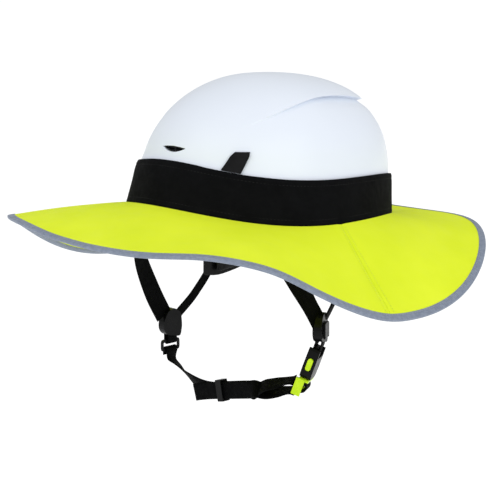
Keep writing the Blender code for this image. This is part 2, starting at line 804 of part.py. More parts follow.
# Where both runs turn from upright to flat on their way to the plug: the middle between them, half
# the gap, and how far they have turned.
CHIN_TURN = (
    ((38.0, -44.2, -163.2), 2.6, 36.0), ((51.0, -43.0, -160.2), 4.6, 60.0),
    ((64.0, -39.4, -156.4), 5.1, 68.0), ((74.0, -34.6, -153.4), 4.9, 80.0),
)
CHIN_RETURN = (
    (28.0, -45.1, -165.0), (-8.0, -43.9, -173.0),
    (-26.0, -43.3, -177.0), (-40.0, -43.8, -180.6), (-47.5, -44.2, -182.8),
)
PLUG_BAR = (0.0, -0.5, 25.0)
LOOP_R = 3.0
PLUG_LOOP_R = 4.8


def buckle_point(wide_at, out_at, down_at):
    down, out, wide = buckle_axes()
    return np.array(BUCKLE_C) + wide_at * wide + out_at * out + down_at * down


def plug_run_axes():
    """Directions at the plug: away along the webbing, up from it, and across it."""
    wide = buckle_axes()[2]
    away = np.array((-0.90, -0.43, -0.12))
    away -= wide * np.dot(away, wide)
    away /= np.linalg.norm(away)
    return away, np.cross(away, wide) * (-1 if np.cross(away, wide)[2] < 0 else 1), wide


def turned_run(middle, gap, turn, sign):
    """A point of one of the two runs, and its width's direction, where both have turned so far."""
    away, level, wide = plug_run_axes()
    turn = math.radians(turn)
    flat = -wide if wide[1] < 0 else wide
    across = np.array((0.0, 0.0, 1.0)) * math.cos(turn) + flat * math.sin(turn)
    side = np.cross(across, away)
    side /= np.linalg.norm(side)
    if np.dot(side, level) + np.dot(side, (0, 1, 0)) < 0:
        side = -side
    return np.array(middle) + sign * gap * side, across


def make_chin_webbing():
    """One strap: round the ring's lower bar, under the jaw, round the plug's bar and back."""
    x, y, z = RING_C
    z = z - RING_TALL / 2 + RING_BAR / 2
    keys, wides, widths = [], [], []

    def add(point, wide, width):
        keys.append(tuple(point))
        wides.append(tuple(wide))
        widths.append(width)

    add((x - LOOP_R, y, z - 5.5), (0, -1, 0), 14.0)
    for k in range(5):
        a = math.pi * k / 4
        add((x - LOOP_R * math.cos(a), y, z + LOOP_R * math.sin(a)), (0, -1, 0), 14.0)
    for point, wide, width in zip(CHIN_RUN, CHIN_WIDE, CHIN_WIDTHS):
        add(point, wide, width)
    away, level, wide = plug_run_axes()
    for middle, gap, turn in CHIN_TURN:
        add(*turned_run(middle, gap, turn, 1), 17.0)
    for k in range(5):
        a = math.pi * k / 4
        rim = level * math.cos(a) - away * math.sin(a)
        add(np.array(buckle_point(*PLUG_BAR)) + PLUG_LOOP_R * rim, wide, 16.0)
    for middle, gap, turn in reversed(CHIN_TURN):
        add(*turned_run(middle, gap, turn, -1), 17.0)
    for point in CHIN_RETURN:
        add(point, (0, 0, 1), 17.0)
    points, faces = ribbon(keys, wides, widths, CHIN_WEB_THIN, per=2)
    make("chin_webbing", points, faces, BLACK_WEBBING)


def make_keeper():
    """A sleeve round both runs of the chin webbing."""
    start, end = np.array(CHIN_RUN[5]), np.array(CHIN_RUN[6])
    run = (end - start) / np.linalg.norm(end - start)
    wide = np.array((0.0, 0.0, 1.0)) - run[2] * run
    wide /= np.linalg.norm(wide)
    out = np.cross(run, wide)
    centre = start - run * 2.0 + np.array((0.0, -1.35, 0.0))
    axes = (run, out, wide)
    points, faces = framed_box(centre, (-10.6, -4.6, -4.0), (10.6, 4.6, 4.0), axes)
    keeper = make("strap_keeper", points, faces, BLACK_PLASTIC, smooth=False)
    set_origin(keeper, centre)
    hole = framed_box(centre, (-9.1, -2.9, -8.0), (9.1, 2.9, 8.0), axes)
    cut(keeper, cutter("keeper_hole", *hole))


def framed_box(centre, low, high, axes=None):
    """A box along its own axes, the buckle's unless given: (wide, out, down)."""
    down, out, wide = axes or buckle_axes()
    corners, faces = box_mesh(low, high)
    points = [np.array(centre) + a * wide + b * out + c * down for a, b, c in corners]
    return points, faces


def framed_plate(centre, outline, out0, out1, axes=None):
    """A plate along its own axes, the buckle's unless given. The outline is (wide, down)."""
    down, out, wide = axes or buckle_axes()
    n = len(outline)
    points = []
    for o in (out0, out1):
        points += [np.array(centre) + a * wide + o * out + c * down for a, c in outline]
    faces = [tuple(range(n)), tuple(reversed(range(n, 2 * n)))]
    faces += [(k, (k + 1) % n, n + (k + 1) % n, n + k) for k in range(n)]
    return points, faces


def make_buckle():
    """The housing on the left lower strap, with a squeeze button in a window on each edge."""
    w, long = BUCKLE_WIDE / 2, BUCKLE_LONG / 2
    outline = ((-w + 1, -long), (w - 1, -long), (w, 4), (w - 1.5, long), (-w + 1.5, long), (-w, 4))
    half = BUCKLE_THICK / 2
    points, faces = framed_plate(BUCKLE_C, rounded(outline, 3.0), -half, half)
    body = make("buckle_housing", points, faces, BLACK_PLASTIC, smooth=False)
    slot = -long + 4.4
    pockets = (
        ("strap_slot", (-8.4, -6.0, slot), (8.4, 6.0, slot + 4.6)),
        ("bar_out", (-7.9, 1.5, -long - 2), (7.9, 7.0, slot + 1)),
        ("bar_in", (-7.9, -7.0, -long - 2), (7.9, -1.5, slot + 1.3)),
        ("tongue_slot", (-5.9, -1.8, -4.4), (5.9, 1.8, long + 2)),
        ("window_front", (w - 4.1, -2.9, BUTTON_DOWN - 6.4), (w + 2, 2.9, BUTTON_DOWN + 6.4)),
        ("window_rear", (-w - 2, -3.0, BUTTON_DOWN - 6.4), (-w + 4.1, 3.0, BUTTON_DOWN + 6.4)),
    )
    for name, low, high in pockets:
        cut(body, cutter("buckle_" + name, *framed_box(BUCKLE_C, low, high)))
    down, out, wide = buckle_axes()
    face = rounded(rectangle(0.0, BUTTON_DOWN, 2.5, 6.0), 2.2)
    for side, tag in ((1, "front"), (-1, "rear")):
        near, far = sorted((side * (w - 1.7), side * (w + 0.8)))
        points, faces = framed_plate(BUCKLE_C, face, near, far, (down, wide, out))
        button = make("release_button_" + tag, points, faces, LIME_PLASTIC, smooth=False)
        set_origin(button, buckle_point(side * w, 0.0, BUTTON_DOWN))


def make_plug():
    """The half that pulls out: a tongue, a head, a bar that the chin webbing loops round, and an
    arm at each end of the bar."""
    top = BUCKLE_LONG / 2 + 0.35
    head = rounded(rectangle(0.0, top + 1.45, 9.8, 1.45), 1.2)
    points, faces = framed_plate(BUCKLE_C, head, -4.8, 4.8)
    plug = make("buckle_plug", points, faces, LIME_PLASTIC, smooth=False)
    set_origin(plug, BUCKLE_C)
    w0, o0, d0 = PLUG_BAR
    parts = [
        ("tongue", (-5.5, -1.4, -3.6), (5.5, 1.4, top + 2)),
        ("bar", (w0 - 9.9, o0 - 1.3, d0 - 1.3), (w0 + 9.9, o0 + 1.3, d0 + 1.3)),
    ]
    for side, tag in ((1, "front"), (-1, "rear")):
        near, far = sorted((side * 8.9, side * 11.2))
        parts.append(("arm_" + tag, (near, -6.9, top + 0.4), (far, 1.4, d0 + 8.0)))
    for name, start, end in parts:
        cut(plug, cutter("plug_" + name, *framed_box(BUCKLE_C, start, end)), "UNION")


def rear_plate(half_wide, y0, y1):
    """A rounded plate of the adjuster, between two Y positions."""
    plate = rounded(rectangle(0.0, DIAL_Z, half_wide, 14.0), 5.0)
    points = [(x, y0, z) for x, z in plate] + [(x, y1, z) for x, z in plate]
    n = len(plate)
    faces = [tuple(range(n)), tuple(reversed(range(n, 2 * n)))]
    faces += [(k, (k + 1) % n, n + (k + 1) % n, n + k) for k in range(n)]
    return points, faces


def make_adjuster():
    """The base plate, the cover with room for both racks, and the dial with its pinion."""
    y_in, y_out = RACK_Y - 2.0, RACK_Y + 2.0
    make("adjuster_base", *rear_plate(30.0, y_in - 2.5, y_in), BLACK_PLASTIC, smooth=False)
    walls = rear_plate(26.0, y_in + 0.35, y_out + 2.5)
    cover = make("adjuster_cover", *walls, BLACK_PLASTIC, smooth=False)
    room = box_mesh((-40, y_in - 5, DIAL_Z - 11.2), (40, y_out, DIAL_Z + 11.2))
    cut(cover, cutter("rack_room", *room))
    hole = cylinder_mesh((0, y_out - 3, DIAL_Z), (0, 1, 0), PINION_R + 0.4, 12)
    cut(cover, cutter("shaft_hole", *hole))
    knob_y = y_out + 2.5 + 0.35
    rows = (
        (knob_y, DIAL_R - 1.5), (knob_y + 1.5, DIAL_R),
        (knob_y + 6.5, DIAL_R - 0.6), (knob_y + 8, DIAL_R - 2.6),
    )
    n = 2 * DIAL_TEETH
    points, faces = [], []
    for y, r in rows:
        for k in range(n):
            a = 2 * math.pi * k / n
            rr = r - (0.9 if k % 2 else 0.0)
            points.append((rr * math.cos(a), y, DIAL_Z + rr * math.sin(a)))
    for r in range(len(rows) - 1):
        for k in range(n):
            m = (k + 1) % n
            faces.append((r * n + k, r * n + m, r * n + n + m, r * n + n + k))
    faces += [tuple(range(n)), tuple(reversed(range((len(rows) - 1) * n, len(rows) * n)))]
    dial = make("adjuster_dial", points, faces, BLACK_PLASTIC, smooth=False)
    set_origin(dial, (0, knob_y, DIAL_Z))
    start = (0, y_in + 0.6, DIAL_Z)
    pinion = cylinder_mesh(start, (0, 1, 0), PINION_R, knob_y + 2 - y_in, 20)
    cut(dial, cutter("pinion_shaft", *pinion), "UNION")


# Left cradle arm: its line from the lug beside the ear to the tail of its rack, with the arm's
# height at each point, and the pad inside it. Rack points are offsets from the dial's height.
ARM_LINE = (
    (95.0, 12.0, -20.0), (95.2, 30.0, -20.0), (93.5, 50.0, -18.0), (87.0, 74.0, -12.0),
    (73.0, 96.0, -6.0), (58.0, 109.0, -2.0), (43.0, 114.8, 0.0),
)
ARM_TALL = (20, 25, 23, 20, 18, 16, 14)
ARM_PAD = (
    (90.3, 26.0, -19.5), (88.8, 48.0, -17.0), (82.6, 71.0, -11.5), (70.2, 91.0, -6.0),
    (57.5, 103.0, -2.5),
)
ARM_PAD_TALL = (17, 18, 15, 13, 11)


def make_arm(side, tag):
    """An arm of the nape cradle. The left arm's rack runs above the pinion and the right's below."""
    up = RACK_OFFSET_Z * side
    line = [(x * side, y, DIAL_Z + z) for x, y, z in ARM_LINE]
    for x, rise in ((36.0, 0.55), (29.0, 1.0), (5.0, 1.0), (-19.0, 1.0)):
        line.append((x * side, RACK_Y, DIAL_Z + rise * up))
    tall = ARM_TALL + (9, RACK_TALL, RACK_TALL, RACK_TALL)
    strip = ribbon(line, [(0, 0, 1)] * len(line), tall, RACK_THIN, per=3)
    arm = make("cradle_arm_" + tag, *strip, BLACK_PLASTIC)
    line = [(x * side, y, DIAL_Z + z) for x, y, z in ARM_PAD]
    strip = ribbon(line, [(0, 0, 1)] * len(line), ARM_PAD_TALL, 5.0, per=3)
    pad = make("arm_pad_" + tag, *strip, BLACK_FOAM)
    for piece in (arm, pad):
        set_origin(piece, (0, RACK_Y, DIAL_Z + up))


def make_spine():
    """The strap that carries the adjuster from the rear rim, and the pad at the nape."""
    line = (
        (0, 132.8, -3.6), (0, 131.8, -13.0), (0, 122.5, -23.0), (0, 111.2, -29.5),
        (0, 108.4, -37.0), (0, 108.4, -60.0),
    )
    spine = ribbon(line, [(1, 0, 0)] * len(line), (26, 26, 26, 28, 28, 28), 2.6, per=3)
    make("cradle_spine", *spine, BLACK_PLASTIC)
    line = ((0, 103.2, -38.0), (0, 102.6, -50.0), (0, 103.2, -62.0))
    make("nape_pad", *ribbon(line, [(1, 0, 0)] * 3, (44, 48, 44), 7.0, per=2), BLACK_FOAM)


def main():
    clear_scene()
    make_shell()
    make_liner()
    make_vent()
    make_pads()
    make_side_clip("side_clip_left", 1)
    make_band()
    seam = BRIM_SEAM_DEG
    make_brim_panel("brim_panel_front", -seam, seam, 35)
    make_brim_panel("brim_panel_rear", seam, 360 - seam, 39)
    make_binding()
    make_right_ring()
    for side, tag in ((1, "left"), (-1, "right")):
        make_lower_strap(side, tag)
        front, rear = make_straps(side, tag)
        make_anchor("strap_anchor_front_" + tag, front)
        make_anchor("strap_anchor_rear_" + tag, rear)
        make_divider(side, tag, (front, rear))
    make_chin_webbing()
    make_keeper()
    make_buckle()
    make_plug()
    make_adjuster()
    for side, tag in ((1, "left"), (-1, "right")):
        make_arm(side, tag)
    make_spine()


main()
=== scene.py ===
"""A water helmet with a stretch-banded sun brim, a chin harness and a dial-fit nape cradle.

Lengths in the making are millimetres, turned into metres where a mesh is made. Front is -Y and
the wearer's left is +X, as in the frame.
"""

import math

import bmesh
import bpy
import numpy as np
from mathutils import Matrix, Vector


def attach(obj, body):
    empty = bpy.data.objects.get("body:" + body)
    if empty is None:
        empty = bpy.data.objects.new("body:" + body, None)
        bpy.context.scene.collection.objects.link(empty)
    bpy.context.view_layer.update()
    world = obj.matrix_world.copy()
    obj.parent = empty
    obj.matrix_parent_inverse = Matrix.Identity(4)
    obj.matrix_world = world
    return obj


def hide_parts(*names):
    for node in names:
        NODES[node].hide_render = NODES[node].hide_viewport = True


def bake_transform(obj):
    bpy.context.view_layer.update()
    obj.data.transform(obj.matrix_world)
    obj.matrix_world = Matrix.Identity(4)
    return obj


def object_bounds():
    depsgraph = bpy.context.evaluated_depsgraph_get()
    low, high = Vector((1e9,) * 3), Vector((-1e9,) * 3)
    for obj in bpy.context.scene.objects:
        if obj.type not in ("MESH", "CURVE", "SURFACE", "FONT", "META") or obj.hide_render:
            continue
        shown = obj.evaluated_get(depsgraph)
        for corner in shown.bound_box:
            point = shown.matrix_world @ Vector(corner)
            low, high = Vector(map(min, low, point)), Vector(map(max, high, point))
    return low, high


MM = 0.001
WELD = 2e-6
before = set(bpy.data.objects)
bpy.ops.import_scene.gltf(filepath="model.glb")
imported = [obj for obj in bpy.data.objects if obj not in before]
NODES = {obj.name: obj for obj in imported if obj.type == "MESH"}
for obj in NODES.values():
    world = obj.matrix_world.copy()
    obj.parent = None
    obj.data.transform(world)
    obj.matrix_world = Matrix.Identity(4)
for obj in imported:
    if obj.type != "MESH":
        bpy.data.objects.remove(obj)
CAD_BOX = [list(v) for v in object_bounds()]

# ---------------------------------------------------------------- camera, light and floor
AZIMUTH, ELEVATION, DISTANCE = math.radians(46.0), math.radians(10.6), 1.5
TARGET = Vector((0.0, -0.0149, -0.0380))
LENS, SENSOR, FAR_CLIP = 112.752, 36.0, 60.0
LIGHT_DISTANCE = 2.8
# Name, azimuth and elevation in degrees, size in metres, watts and colour of each area light.
LIGHTS = (
    ("key", 82, 30, 2.4, 22.5, (1.0, 0.99, 0.98)),
    ("fill", -10, 34, 2.6, 17, (1.0, 0.995, 0.99)),
    ("top", 150, 76, 2.6, 7, (1, 1, 1)),
)
SKY_COLOUR, SKY_STRENGTH = (0.97, 0.985, 1.0, 1.0), 0.62
FLOOR_HALF, FLOOR_DROP, FLOOR_GLOW = 60.0, 0.22, 0.84


def make_camera():
    """A long lens at the front left, a little above the brim."""
    back = Vector((
        math.sin(AZIMUTH) * math.cos(ELEVATION),
        -math.cos(AZIMUTH) * math.cos(ELEVATION),
        math.sin(ELEVATION),
    ))
    cam = bpy.data.objects.new("camera", bpy.data.cameras.new("camera"))
    bpy.context.scene.collection.objects.link(cam)
    cam.data.lens = LENS
    cam.data.sensor_width = SENSOR
    cam.data.clip_end = FAR_CLIP
    cam.location = TARGET + back * DISTANCE
    cam.rotation_mode = "QUATERNION"
    cam.rotation_quaternion = (-back).to_track_quat("-Z", "Y")
    bpy.context.scene.camera = cam


def area_light(name, azimuth, elevation, size, watts, colour):
    """A square light that faces the origin and isn't seen itself."""
    a, e = math.radians(azimuth), math.radians(elevation)
    way = Vector((math.sin(a) * math.cos(e), -math.cos(a) * math.cos(e), math.sin(e)))
    light = bpy.data.objects.new(name, bpy.data.lights.new(name, "AREA"))
    bpy.context.scene.collection.objects.link(light)
    light.data.energy = watts
    light.data.size = size
    light.data.color = colour
    light.location = way * LIGHT_DISTANCE
    light.rotation_mode = "QUATERNION"
    light.rotation_quaternion = way.to_track_quat("Z", "Y")
    light.visible_camera = False


def make_studio():
    """A white sweep for the camera, a softer sky for everything else, a floor and three lights."""
    scene = bpy.context.scene
    scene.view_settings.view_transform = "Standard"
    world = bpy.data.worlds.new("studio")
    world.use_nodes = True
    scene.world = world
    nodes, links = world.node_tree.nodes, world.node_tree.links
    sky = nodes["Background"]
    sky.inputs["Color"].default_value = SKY_COLOUR
    sky.inputs["Strength"].default_value = SKY_STRENGTH
    sweep = nodes.new("ShaderNodeBackground")
    sweep.inputs["Color"].default_value = (1.0, 1.0, 1.0, 1.0)
    path, mix = nodes.new("ShaderNodeLightPath"), nodes.new("ShaderNodeMixShader")
    links.new(path.outputs["Is Camera Ray"], mix.inputs[0])
    links.new(sky.outputs[0], mix.inputs[1])
    links.new(sweep.outputs[0], mix.inputs[2])
    links.new(mix.outputs[0], nodes["World Output"].inputs[0])
    for row in LIGHTS:
        area_light(*row)
    mesh = bpy.data.meshes.new("floor")
    r, z = FLOOR_HALF, CAD_BOX[0][2] - FLOOR_DROP
    mesh.from_pydata([(-r, -r, z), (r, -r, z), (r, r, z), (-r, r, z)], [], [(0, 1, 2, 3)])
    floor = bpy.data.objects.new("floor", mesh)
    scene.collection.objects.link(floor)
    look = bpy.data.materials.new("floor_look")
    look.use_nodes = True
    shader = look.node_tree.nodes["Principled BSDF"]
    shader.inputs["Base Color"].default_value = (0.35, 0.35, 0.35, 1)
    shader.inputs["Emission Color"].default_value = (1.0, 1.0, 1.0, 1)
    shader.inputs["Emission Strength"].default_value = FLOOR_GLOW
    shader.inputs["Roughness"].default_value = 1.0
    shader.inputs["Specular IOR Level"].default_value = 0.0
    mesh.materials.append(look)


# ---------------------------------------------------------------- materials
class Look:
    """A Principled material with helpers that build its colour, roughness and bump nodes."""

    def __init__(self, name, colour, rough, **sockets):
        self.mat = bpy.data.materials.new(name)
        self.mat.use_nodes = True
        self.mat.diffuse_color = (*colour, 1.0)
        self.tree = self.mat.node_tree
        self.shader = self.tree.nodes["Principled BSDF"]
        self.shader.inputs["Base Color"].default_value = (*colour, 1.0)
        self.shader.inputs["Roughness"].default_value = rough
        for key, value in sockets.items():
            self.shader.inputs[key.replace("_", " ")].default_value = value
        self.coords = self.tree.nodes.new("ShaderNodeTexCoord")
        self.last_normal = None

    def node(self, kind, **values):
        made = self.tree.nodes.new(kind)
        for key, value in values.items():
            setattr(made, key, value)
        return made

    def join(self, a, b):
        self.tree.links.new(a, b)

    def math(self, operation, a, b=None):
        made = self.node("ShaderNodeMath", operation=operation)
        for socket, value in zip(made.inputs, (a, b)):
            if isinstance(value, (int, float)):
                socket.default_value = value
            elif value is not None:
                self.join(value, socket)
        return made.outputs[0]

    def noise(self, scale, detail=3.0, space="Object"):
        made = self.node("ShaderNodeTexNoise")
        made.inputs["Scale"].default_value = scale
        made.inputs["Detail"].default_value = detail
        self.join(self.coords.outputs[space], made.inputs["Vector"])
        return made.outputs["Fac"]

    def uv(self):
        """Metres round a sweep's section, and metres along it."""
        made = self.node("ShaderNodeSeparateXYZ")
        self.join(self.coords.outputs["UV"], made.inputs[0])
        return made.outputs["X"], made.outputs["Y"]

    def ribs(self, value, pitch_mm):
        """A sine with that pitch, in millimetres, of a length in metres."""
        return self.math("SINE", self.math("MULTIPLY", value, 2000 * math.pi / pitch_mm))

    def shade(self, value, low, high, dark, light):
        """Colour from dark to light as value goes from low to high."""
        ramp = self.node("ShaderNodeMapRange")
        for socket, number in zip(("From Min", "From Max", "To Min", "To Max"), (low, high, 0, 1)):
            ramp.inputs[socket].default_value = number
        self.join(value, ramp.inputs["Value"])
        mix = self.node("ShaderNodeMix", data_type="RGBA")
        mix.inputs["A"].default_value = (*dark, 1)
        mix.inputs["B"].default_value = (*light, 1)
        self.join(ramp.outputs[0], mix.inputs["Factor"])
        self.join(mix.outputs["Result"], self.shader.inputs["Base Color"])
        return mix.outputs["Result"]

    def roughen(self, value, low, high):
        """Roughness from low to high with a noise."""
        ramp = self.node("ShaderNodeMapRange")
        ramp.inputs["From Min"].default_value = 0.3
        ramp.inputs["From Max"].default_value = 0.7
        ramp.inputs["To Min"].default_value = low
        ramp.inputs["To Max"].default_value = high
        self.join(value, ramp.inputs["Value"])
        self.join(ramp.outputs[0], self.shader.inputs["Roughness"])

    def bump(self, value, depth_mm, strength=1.0):
        """Adds a bump on top of the ones before it."""
        made = self.node("ShaderNodeBump")
        made.inputs["Strength"].default_value = strength
        made.inputs["Distance"].default_value = depth_mm * MM
        self.join(value, made.inputs["Height"])
        if self.last_normal:
            self.join(self.last_normal, made.inputs["Normal"])
        self.last_normal = made.outputs["Normal"]
        self.join(self.last_normal, self.shader.inputs["Normal"])


def shell_look():
    """White moulded plastic with a thin, soft gloss."""
    look = Look("shell_gloss", (0.80, 0.86, 0.95), 0.16, Specular_IOR_Level=0.35)
    look.shader.inputs["Coat Weight"].default_value = 0.12
    look.shader.inputs["Coat Roughness"].default_value = 0.16
    look.shade(look.noise(14, 2), 0.3, 0.7, (0.785, 0.835, 0.92), (0.80, 0.85, 0.93))
    look.roughen(look.noise(60, 4), 0.30, 0.40)
    look.bump(look.noise(190, 1), 0.05, 0.25)
    return look.mat


def plastic_look(name, dark, light, rough, depth=0.035):
    """Moulded plastic with a fine spark-eroded grain."""
    look = Look(name, light, rough, Specular_IOR_Level=0.11)
    look.shade(look.noise(90, 5), 0.35, 0.65, dark, light)
    look.roughen(look.noise(300, 3), rough - 0.08, rough + 0.08)
    look.bump(look.noise(1500, 2), depth, 0.5)
    return look.mat


def twill_look(name, base, painted_rib_highlight):
    """Woven webbing: slanted ribs across u and v, coloured lighter where the yarn stands up as a
    painted highlight, with random fuzz in the tone.
    """
    look = Look(name, base, 0.62, Specular_IOR_Level=0.03)
    u, v = look.uv()
    slant = look.math("ADD", u, look.math("MULTIPLY", v, 0.62))
    ribs = look.ribs(slant, 1.7)
    yarn = look.ribs(v, 0.75)
    both = look.math("ADD", ribs, look.math("MULTIPLY", yarn, 0.45))
    rib_highlight_and_fuzz = look.math("ADD", both, look.math("MULTIPLY", look.noise(900, 2), 1.4))
    # Painted highlight: the ribs are coloured lighter where the yarn stands up, mixed with random
    # noise in the tone.
    look.shade(rib_highlight_and_fuzz, -0.4, 2.2, base, painted_rib_highlight)
    look.roughen(look.noise(220, 3), 0.5, 0.75)
    look.bump(both, 0.16, 0.8)
    look.bump(look.noise(2600, 2), 0.05, 0.6)
    return look.mat


def knit_look():
    """Matte black knit of small loops."""
    look = Look("band_knit", (0.006, 0.006, 0.008), 0.85, Specular_IOR_Level=0.05)
    u, v = look.uv()
    loops = look.math("MULTIPLY", look.ribs(u, 0.9), look.ribs(v, 1.1))
    look.shade(look.noise(40, 4), 0.3, 0.7, (0.0030, 0.0031, 0.0038), (0.0048, 0.0049, 0.0060))
    look.roughen(look.noise(200, 2), 0.78, 0.95)
    look.bump(loops, 0.08, 0.7)
    look.bump(look.noise(1800, 2), 0.05, 0.5)
    return look.mat


def brim_look():
    """Bright plain-woven fluorescent nylon; its colour is also emitted faintly, a painted glow
    though the cloth is no lamp.
    """
    look = Look("brim_weave", (0.69, 0.86, 0.035), 0.72, Specular_IOR_Level=0.12)
    u, v = look.uv()
    weave = look.math("MULTIPLY", look.ribs(u, 0.85), look.ribs(v, 0.85))
    soft = look.math("ADD", look.noise(16, 3), look.math("MULTIPLY", weave, 0.05))
    tint_and_painted_glow = look.shade(soft, 0.3, 0.7, (0.71, 0.84, 0.020), (0.78, 0.90, 0.032))
    # Painted glow: the cloth's own colour is emitted faintly, so it shines a little brighter than
    # the light on it makes it.
    look.join(tint_and_painted_glow, look.shader.inputs["Emission Color"])
    look.shader.inputs["Emission Strength"].default_value = 0.06
    look.roughen(look.noise(90, 3), 0.62, 0.8)
    look.bump(weave, 0.07, 0.6)
    look.bump(look.noise(55, 2), 0.35, 0.35)
    return look.mat


def binding_look():
    """Grey reflective tape: fine lines along it, with beads between them."""
    look = Look("binding_tape", (0.22, 0.26, 0.34), 0.48, Specular_IOR_Level=0.35)
    u, v = look.uv()
    lines = look.ribs(u, 1.15)
    beads = look.math("MULTIPLY", look.ribs(u, 0.5), look.ribs(v, 0.5))
    mixed = look.math("ADD", look.math("MULTIPLY", lines, 0.22), look.noise(300, 3))
    look.shade(mixed, 0.2, 0.85, (0.17, 0.20, 0.27), (0.28, 0.325, 0.41))
    look.roughen(look.noise(120, 2), 0.4, 0.58)
    look.bump(lines, 0.08, 0.6)
    look.bump(beads, 0.03, 0.5)
    return look.mat


def thread_look(name, colour):
    """Twisted sewing thread."""
    look = Look(name, colour, 0.7, Specular_IOR_Level=0.2)
    dark = tuple(0.75 * c for c in colour)
    look.shade(look.noise(1200, 2), 0.35, 0.65, dark, colour)
    look.bump(look.noise(3500, 1), 0.06, 0.8)
    return look.mat


def foam_look():
    """Dark moulded bead foam."""
    look = Look("liner_foam", (0.03, 0.03, 0.034), 0.9)
    look.shade(look.noise(700, 4), 0.35, 0.65, (0.022, 0.022, 0.025), (0.040, 0.040, 0.045))
    look.roughen(look.noise(200, 3), 0.8, 0.95)
    look.bump(look.noise(1300, 3), 0.16, 0.8)
    return look.mat


def pad_look():
    """Brushed knit over soft foam."""
    look = Look("pad_cloth", (0.016, 0.016, 0.018), 0.95, Specular_IOR_Level=0.1)
    look.shader.inputs["Sheen Weight"].default_value = 0.1
    look.shader.inputs["Sheen Roughness"].default_value = 0.4
    look.shade(look.noise(260, 4), 0.3, 0.7, (0.010, 0.010, 0.012), (0.024, 0.024, 0.027))
    look.bump(look.noise(1700, 3), 0.14, 0.9)
    look.bump(look.noise(120, 2), 0.5, 0.35)
    return look.mat


# ---------------------------------------------------------------- mesh helpers
def finish_mesh(name, mesh, body, replaces, angle=50.0):
    """Welds the mesh, turns it right side out, smooths it, hides the CAD parts it replaces and ties
    it to its body.
    """
    work = bmesh.new()
    work.from_mesh(mesh)
    bmesh.ops.remove_doubles(work, verts=work.verts, dist=WELD)
    loose = [e for e in work.edges if not e.link_faces]
    bmesh.ops.delete(work, geom=loose, context="EDGES")
    bmesh.ops.recalc_face_normals(work, faces=work.faces)
    if work.calc_volume(signed=True) < 0:
        bmesh.ops.reverse_faces(work, faces=work.faces)
    work.to_mesh(mesh)
    work.free()
    mesh.polygons.foreach_set("use_smooth", [True] * len(mesh.polygons))
    mesh.set_sharp_from_angle(angle=math.radians(angle))
    obj = bpy.data.objects.new(name, mesh)
    bpy.context.scene.collection.objects.link(obj)
    if replaces:
        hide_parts(*replaces)
    if body:
        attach(obj, body)
    return obj


def swept(name, grid, looped, look, body, replaces=(), angle=50.0):
    """A closed body from sections in millimetres: grid[section][point round it]. UVs hold the
    distance round the section and along the sweep, in metres."""
    grid = np.asarray(grid, float) * MM
    n, k = grid.shape[:2]
    round_it = np.linalg.norm(np.roll(grid, -1, axis=1) - grid, axis=2).mean(axis=0)
    along = np.linalg.norm(np.roll(grid, -1, axis=0) - grid, axis=2).mean(axis=1)
    us = np.concatenate([[0], np.cumsum(round_it)])
    vs = np.concatenate([[0], np.cumsum(along)])
    faces, uvs = [], []
    for i in range(n if looped else n - 1):
        j = (i + 1) % n
        for a in range(k):
            b = (a + 1) % k
            faces.append((i * k + a, i * k + b, j * k + b, j * k + a))
            uvs += [(us[a], vs[i]), (us[a + 1], vs[i]), (us[a + 1], vs[i + 1]), (us[a], vs[i + 1])]
    if not looped:
        faces += [tuple(range(k - 1, -1, -1)), tuple(range((n - 1) * k, n * k))]
        uvs += [(0.0, 0.0)] * (2 * k)
    mesh = bpy.data.meshes.new(name)
    mesh.from_pydata(grid.reshape(-1, 3).tolist(), [], faces)
    layer = mesh.uv_layers.new(name="UVMap")
    layer.data.foreach_set("uv", np.array(uvs, np.float32).ravel())
    mesh.materials.append(look)
    return finish_mesh(name, mesh, body, replaces, angle)


def smooth_path(keys, per):
    """Catmull-Rom points through the keys."""
    keys = [np.array(k, float) for k in keys]
    keys = [2 * keys[0] - keys[1]] + keys + [2 * keys[-1] - keys[-2]]
    out = []
    for i in range(1, len(keys) - 2):
        a, b, c, d = keys[i - 1 : i + 3]
        for k in range(per):
            t = k / per
            out.append(
                0.5 * (2 * b + (c - a) * t + (2 * a - 5 * b + 4 * c - d) * t**2
                       + (3 * b - a - 3 * c + d) * t**3)
            )
    out.append(keys[-2])
    return out


def strap_section(width, thin, cup=0.0):
    """Section of webbing with rounded selvedges, as (across, up) points."""
    half, up = width / 2, thin / 2
    across = [half - up * 0.6] + [half * f for f in (0.72, 0.4, 0.0, -0.4, -0.72)]
    top = [(a, up + cup * (a / half) ** 2) for a in across + [-half + up * 0.6]]
    low = [(a, -up + cup * (a / half) ** 2) for a, _ in reversed(top)]
    return top + [(-half, cup + up * 0.35), (-half, cup - up * 0.35)] + low + [
        (half, cup - up * 0.35), (half, cup + up * 0.35),
    ]


def webbing(name, keys, wides, width, thin, look, per=8, cup=0.0, body="helmet"):
    """A strap of webbing along the keys, its width turned as wides says."""
    path, across = smooth_path(keys, per), smooth_path(wides, per)
    if np.ndim(width) == 0:
        width = [width] * len(keys)
    widths = smooth_path([(w, 0, 0) for w in width], per)
    grid, last = [], len(path) - 1
    for i, p in enumerate(path):
        run = path[min(i + 1, last)] - path[max(i - 1, 0)]
        run /= np.linalg.norm(run)
        w = across[i] - run * np.dot(across[i], run)
        w /= np.linalg.norm(w)
        t = np.cross(run, w)
        grid.append([p + w * a + t * b for a, b in strap_section(widths[i][0], thin, cup)])
    return swept(name, grid, False, look, body, (name,), 60)


